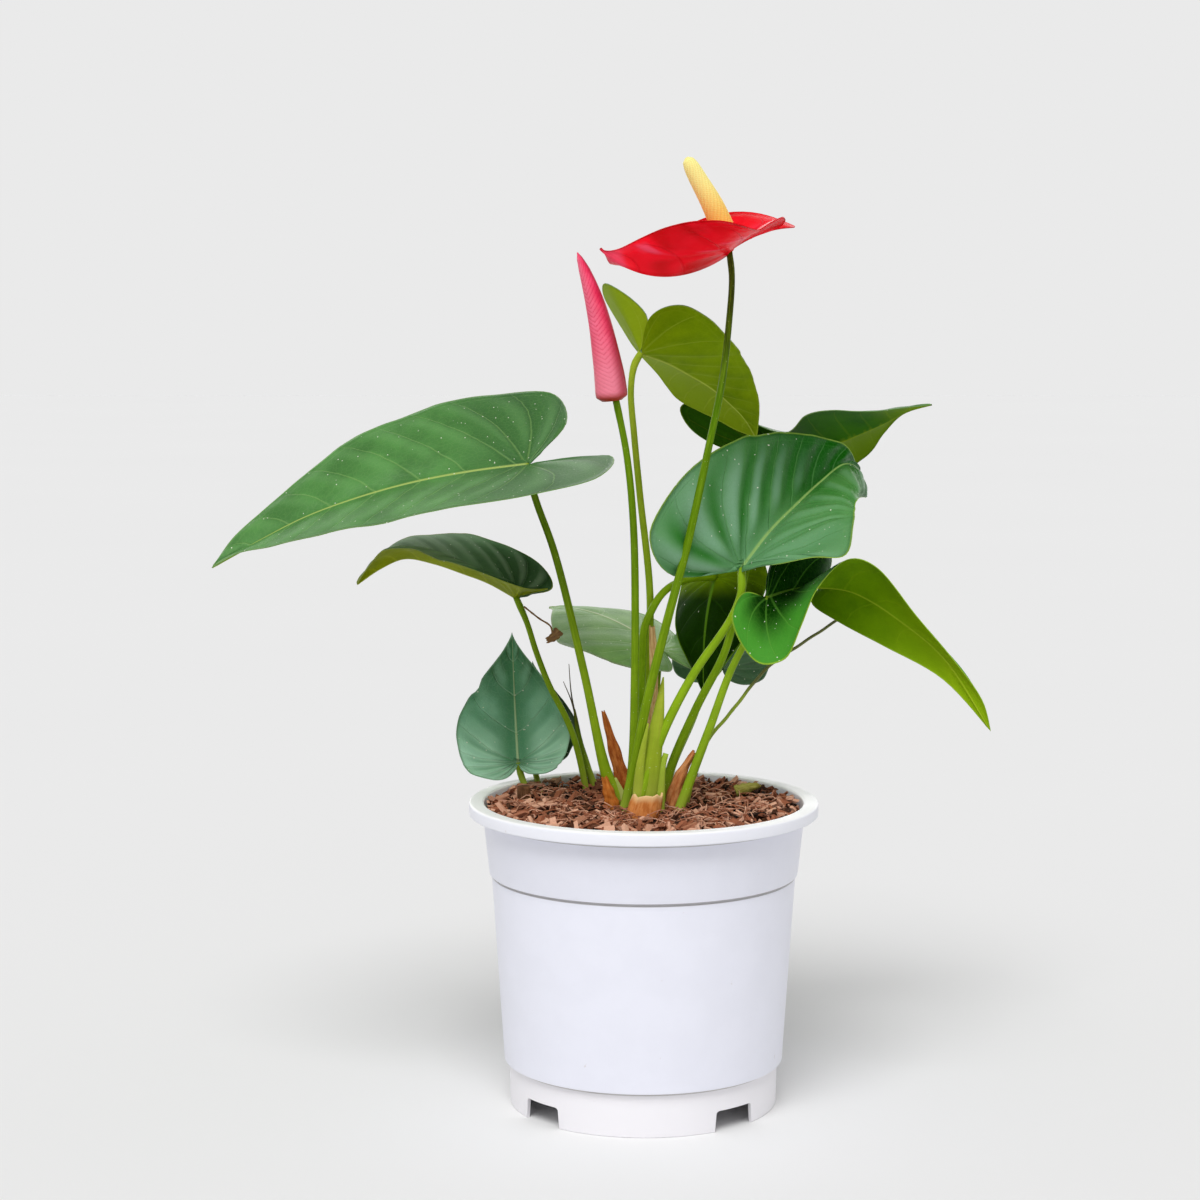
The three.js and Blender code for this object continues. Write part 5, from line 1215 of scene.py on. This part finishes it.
def huskChips(rng):
    cube = np.array([(a, b, c) for c in (-1, 1) for a, b in ((-1, -1), (1, -1), (1, 1), (-1, 1))], float)
    cubeFaces = [(3, 2, 1, 0), (4, 5, 6, 7), (0, 1, 5, 4), (1, 2, 6, 5), (2, 3, 7, 6), (3, 0, 4, 7)]
    meshes = []
    for index in range(chips["count"]):
        angle, reach = rng.uniform(0, 2 * np.pi), chips["reach"] * math.sqrt(rng.uniform(0, 1))
        big = rng.uniform(0, 1) ** 1.6
        size = np.array([0.8 + 4.2 * big, 0.5 + 1.5 * big * rng.uniform(0.4, 1),
                         0.3 + 0.8 * big * rng.uniform(0.4, 1)])
        shape = cube * size * rng.uniform(0.6, 1.15, cube.shape)
        reach = min(reach, growingMix["edge"] + 0.4 - np.linalg.norm(size[:2]))
        yaw = rng.uniform(0, 2 * np.pi)
        shape = turned(shape, yaw, rng.normal(0, chips["tilt"]), rng.normal(0, chips["tilt"]))
        lift = rng.uniform(-1.6, 1.4) + 0.5 * size[2]
        lift += chips["rimLift"] * float(smoothStep(reach, chips["rimFrom"], chips["rimTo"]))
        x, y, z = reach * math.cos(angle), reach * math.sin(angle), mixHeight(reach) - 0.5 + lift
        if abs(x + 1.5) < 8 and -36 < y < -18:  # the mix dips before the torn sheath
            z -= 1.6
        # a chip is painted paler the higher it lies, a painted light, and darker towards the back, a painted
        # shade; broad patches are lighter and darker
        patch = 0.22 * math.sin(0.13 * x + 1) * math.cos(0.11 * y) - 0.3 * float(smoothStep(y, 0, 40))
        shade = float(np.clip(rng.normal(0.44 + 0.2 * lift + patch, 0.28), 0, 1))
        meshes.append((shape + [x, y, z], cubeFaces, {"shade": [shade] * len(cube)}))
    return joinMeshes(meshes)


def huskFibres(rng):
    meshes = []
    for index in range(fibres["count"]):
        angle, reach = rng.uniform(0, 2 * np.pi), fibres["reach"] * math.sqrt(rng.uniform(0, 1))
        length, heading = rng.uniform(fibres["shortest"], fibres["longest"]), rng.uniform(0, 2 * np.pi)
        middle = np.array([reach * math.cos(angle), reach * math.sin(angle), mixHeight(reach) + 0.6])
        run = np.array([math.cos(heading), math.sin(heading), 0])
        across = np.array([-run[1], run[0], 0])
        bow, rise = rng.uniform(-fibres["bow"], fibres["bow"]) * length, rng.uniform(0.5, 2.6)
        route = [middle - run * length / 2, middle + across * bow + [0, 0, rise], middle + run * length / 2]
        if max(np.hypot(p[0], p[1]) for p in route) > fibres["limit"]:
            continue
        points, faces, _ = tubeMesh(route, lambda t, a: 0.3 - 0.12 * t, 5, 2.0)
        meshes.append((points, faces, {"shade": [float(rng.uniform(0.5, 1.0))] * len(points)}))
    return joinMeshes(meshes)


material, tree, shader = newMaterial("coco husk", Roughness=0.9, Specular_IOR_Level=0.2)
shade = reading(tree, "shade")
place = put(tree, "ShaderNodeTexCoord").outputs["Object"]
stain = noiseAt(tree, place, 220.0, 4.0, 0.65)
strands = put(tree, "ShaderNodeMapping", {"Vector": place, "Scale": (1400, 1400, 300)}).outputs[0]
hairs = noiseAt(tree, strands, 1.0, 3.0, 0.7)
base = blendColor(tree, ramp(tree, shade, 0.0, 0.6), growingMix["gap"], growingMix["bark"])
base = blendColor(tree, ramp(tree, shade, 0.6, 0.95), base, growingMix["cut"])
base = blendColor(tree, ramp(tree, stain, 0.45, 0.7, 0.0, 0.25), base, growingMix["stain"])
base = blendColor(tree, ramp(tree, hairs, 0.55, 0.75, 0.0, 0.5), base, growingMix["hair"])
height = maths(tree, "ADD", hairs, stain)
finishSurface(tree, shader, base, ramp(tree, stain, 0.3, 0.7, 0.8, 0.95), height, 0.8, 0.6)
rng = np.random.default_rng(growingMix["seed"])
for name, makeMesh, smooth in (("husk_bed", huskBed, False), ("husk_chips", huskChips, False),
                               ("husk_fibres", huskFibres, True)):
    addPiece(name, makeMesh(rng), material, "growing_mix", smooth=smooth)
print("growing mix ready")


# the camera is the one that was fitted to the photo's pot; metres and degrees
studio = {
    "floor": ("#e9e9e9", "#ebebeb"), "floorReach": 9, "backdrop": "#eaeaea", "sky": 0.5, "mirroredLow": 1.9,
    "mirroredHigh": 0.35, "sunTilt": 34, "sunTurn": -12, "sunSize": 34, "sunPower": 1.9,
    "camera": (-0.019, -1.150, 0.3484), "lookDown": 6.33, "lens": 80.3, "sensor": 36, "farthest": 60,
}

reach = studio["floorReach"]
floorMesh = bpy.data.meshes.new("floor")
floorMesh.from_pydata([(-reach, -reach, 0), (reach, -reach, 0), (reach, reach, 0), (-reach, reach, 0)], [],
                      [(0, 1, 2, 3)])
material, tree, shader = newMaterial("pale floor", Roughness=0.95, Specular_IOR_Level=0.0)
cloud = noiseAt(tree, put(tree, "ShaderNodeTexCoord").outputs["Object"], 1.5, 2.0)
tree.links.new(blendColor(tree, cloud, *studio["floor"]), shader.inputs["Base Color"])
floorMesh.materials.append(material)
placeObject("floor", floorMesh)

# the sky lights the plant evenly, is dimmer in reflections, and shows as the same pale grey as the floor
world = bpy.data.worlds.new("studio")
bpy.context.scene.world = world
world.use_nodes = True
sky = world.node_tree
light = sky.nodes["Background"]
light.inputs["Color"].default_value = (1, 1, 1, 1)
path = put(sky, "ShaderNodeLightPath")
skyPlace = put(sky, "ShaderNodeTexCoord").outputs["Generated"]
rise = put(sky, "ShaderNodeSeparateXYZ", {0: skyPlace}).outputs["Z"]
mirrored = ramp(sky, rise, 0.1, 0.8, studio["mirroredLow"], studio["mirroredHigh"])
strength = put(sky, "ShaderNodeMix", {0: path.outputs["Is Glossy Ray"], 2: studio["sky"], 3: mirrored})
sky.links.new(strength.outputs[0], light.inputs["Strength"])
shown = put(sky, "ShaderNodeBackground", {"Color": tint(studio["backdrop"])})
either = put(sky, "ShaderNodeMixShader", {0: path.outputs["Is Camera Ray"], 1: light.outputs[0],
                                          2: shown.outputs[0]})
sky.links.new(either.outputs[0], sky.nodes["World Output"].inputs["Surface"])

sun = bpy.data.lights.new("soft key", "SUN")
sun.energy, sun.angle = studio["sunPower"], math.radians(studio["sunSize"])
sunHolder = placeObject("soft key", sun)
sunHolder.rotation_euler = (math.radians(studio["sunTilt"]), 0, math.radians(studio["sunTurn"]))
bpy.context.scene.view_settings.view_transform = "Standard"

cameraData = bpy.data.cameras.new("camera")
cameraData.lens, cameraData.sensor_width = studio["lens"], studio["sensor"]
cameraData.clip_end = studio["farthest"]
camera = placeObject("camera", cameraData)
camera.location = studio["camera"]
camera.rotation_euler = (math.radians(90 - studio["lookDown"]), 0, 0)
bpy.context.scene.camera = camera

print("scene ready")
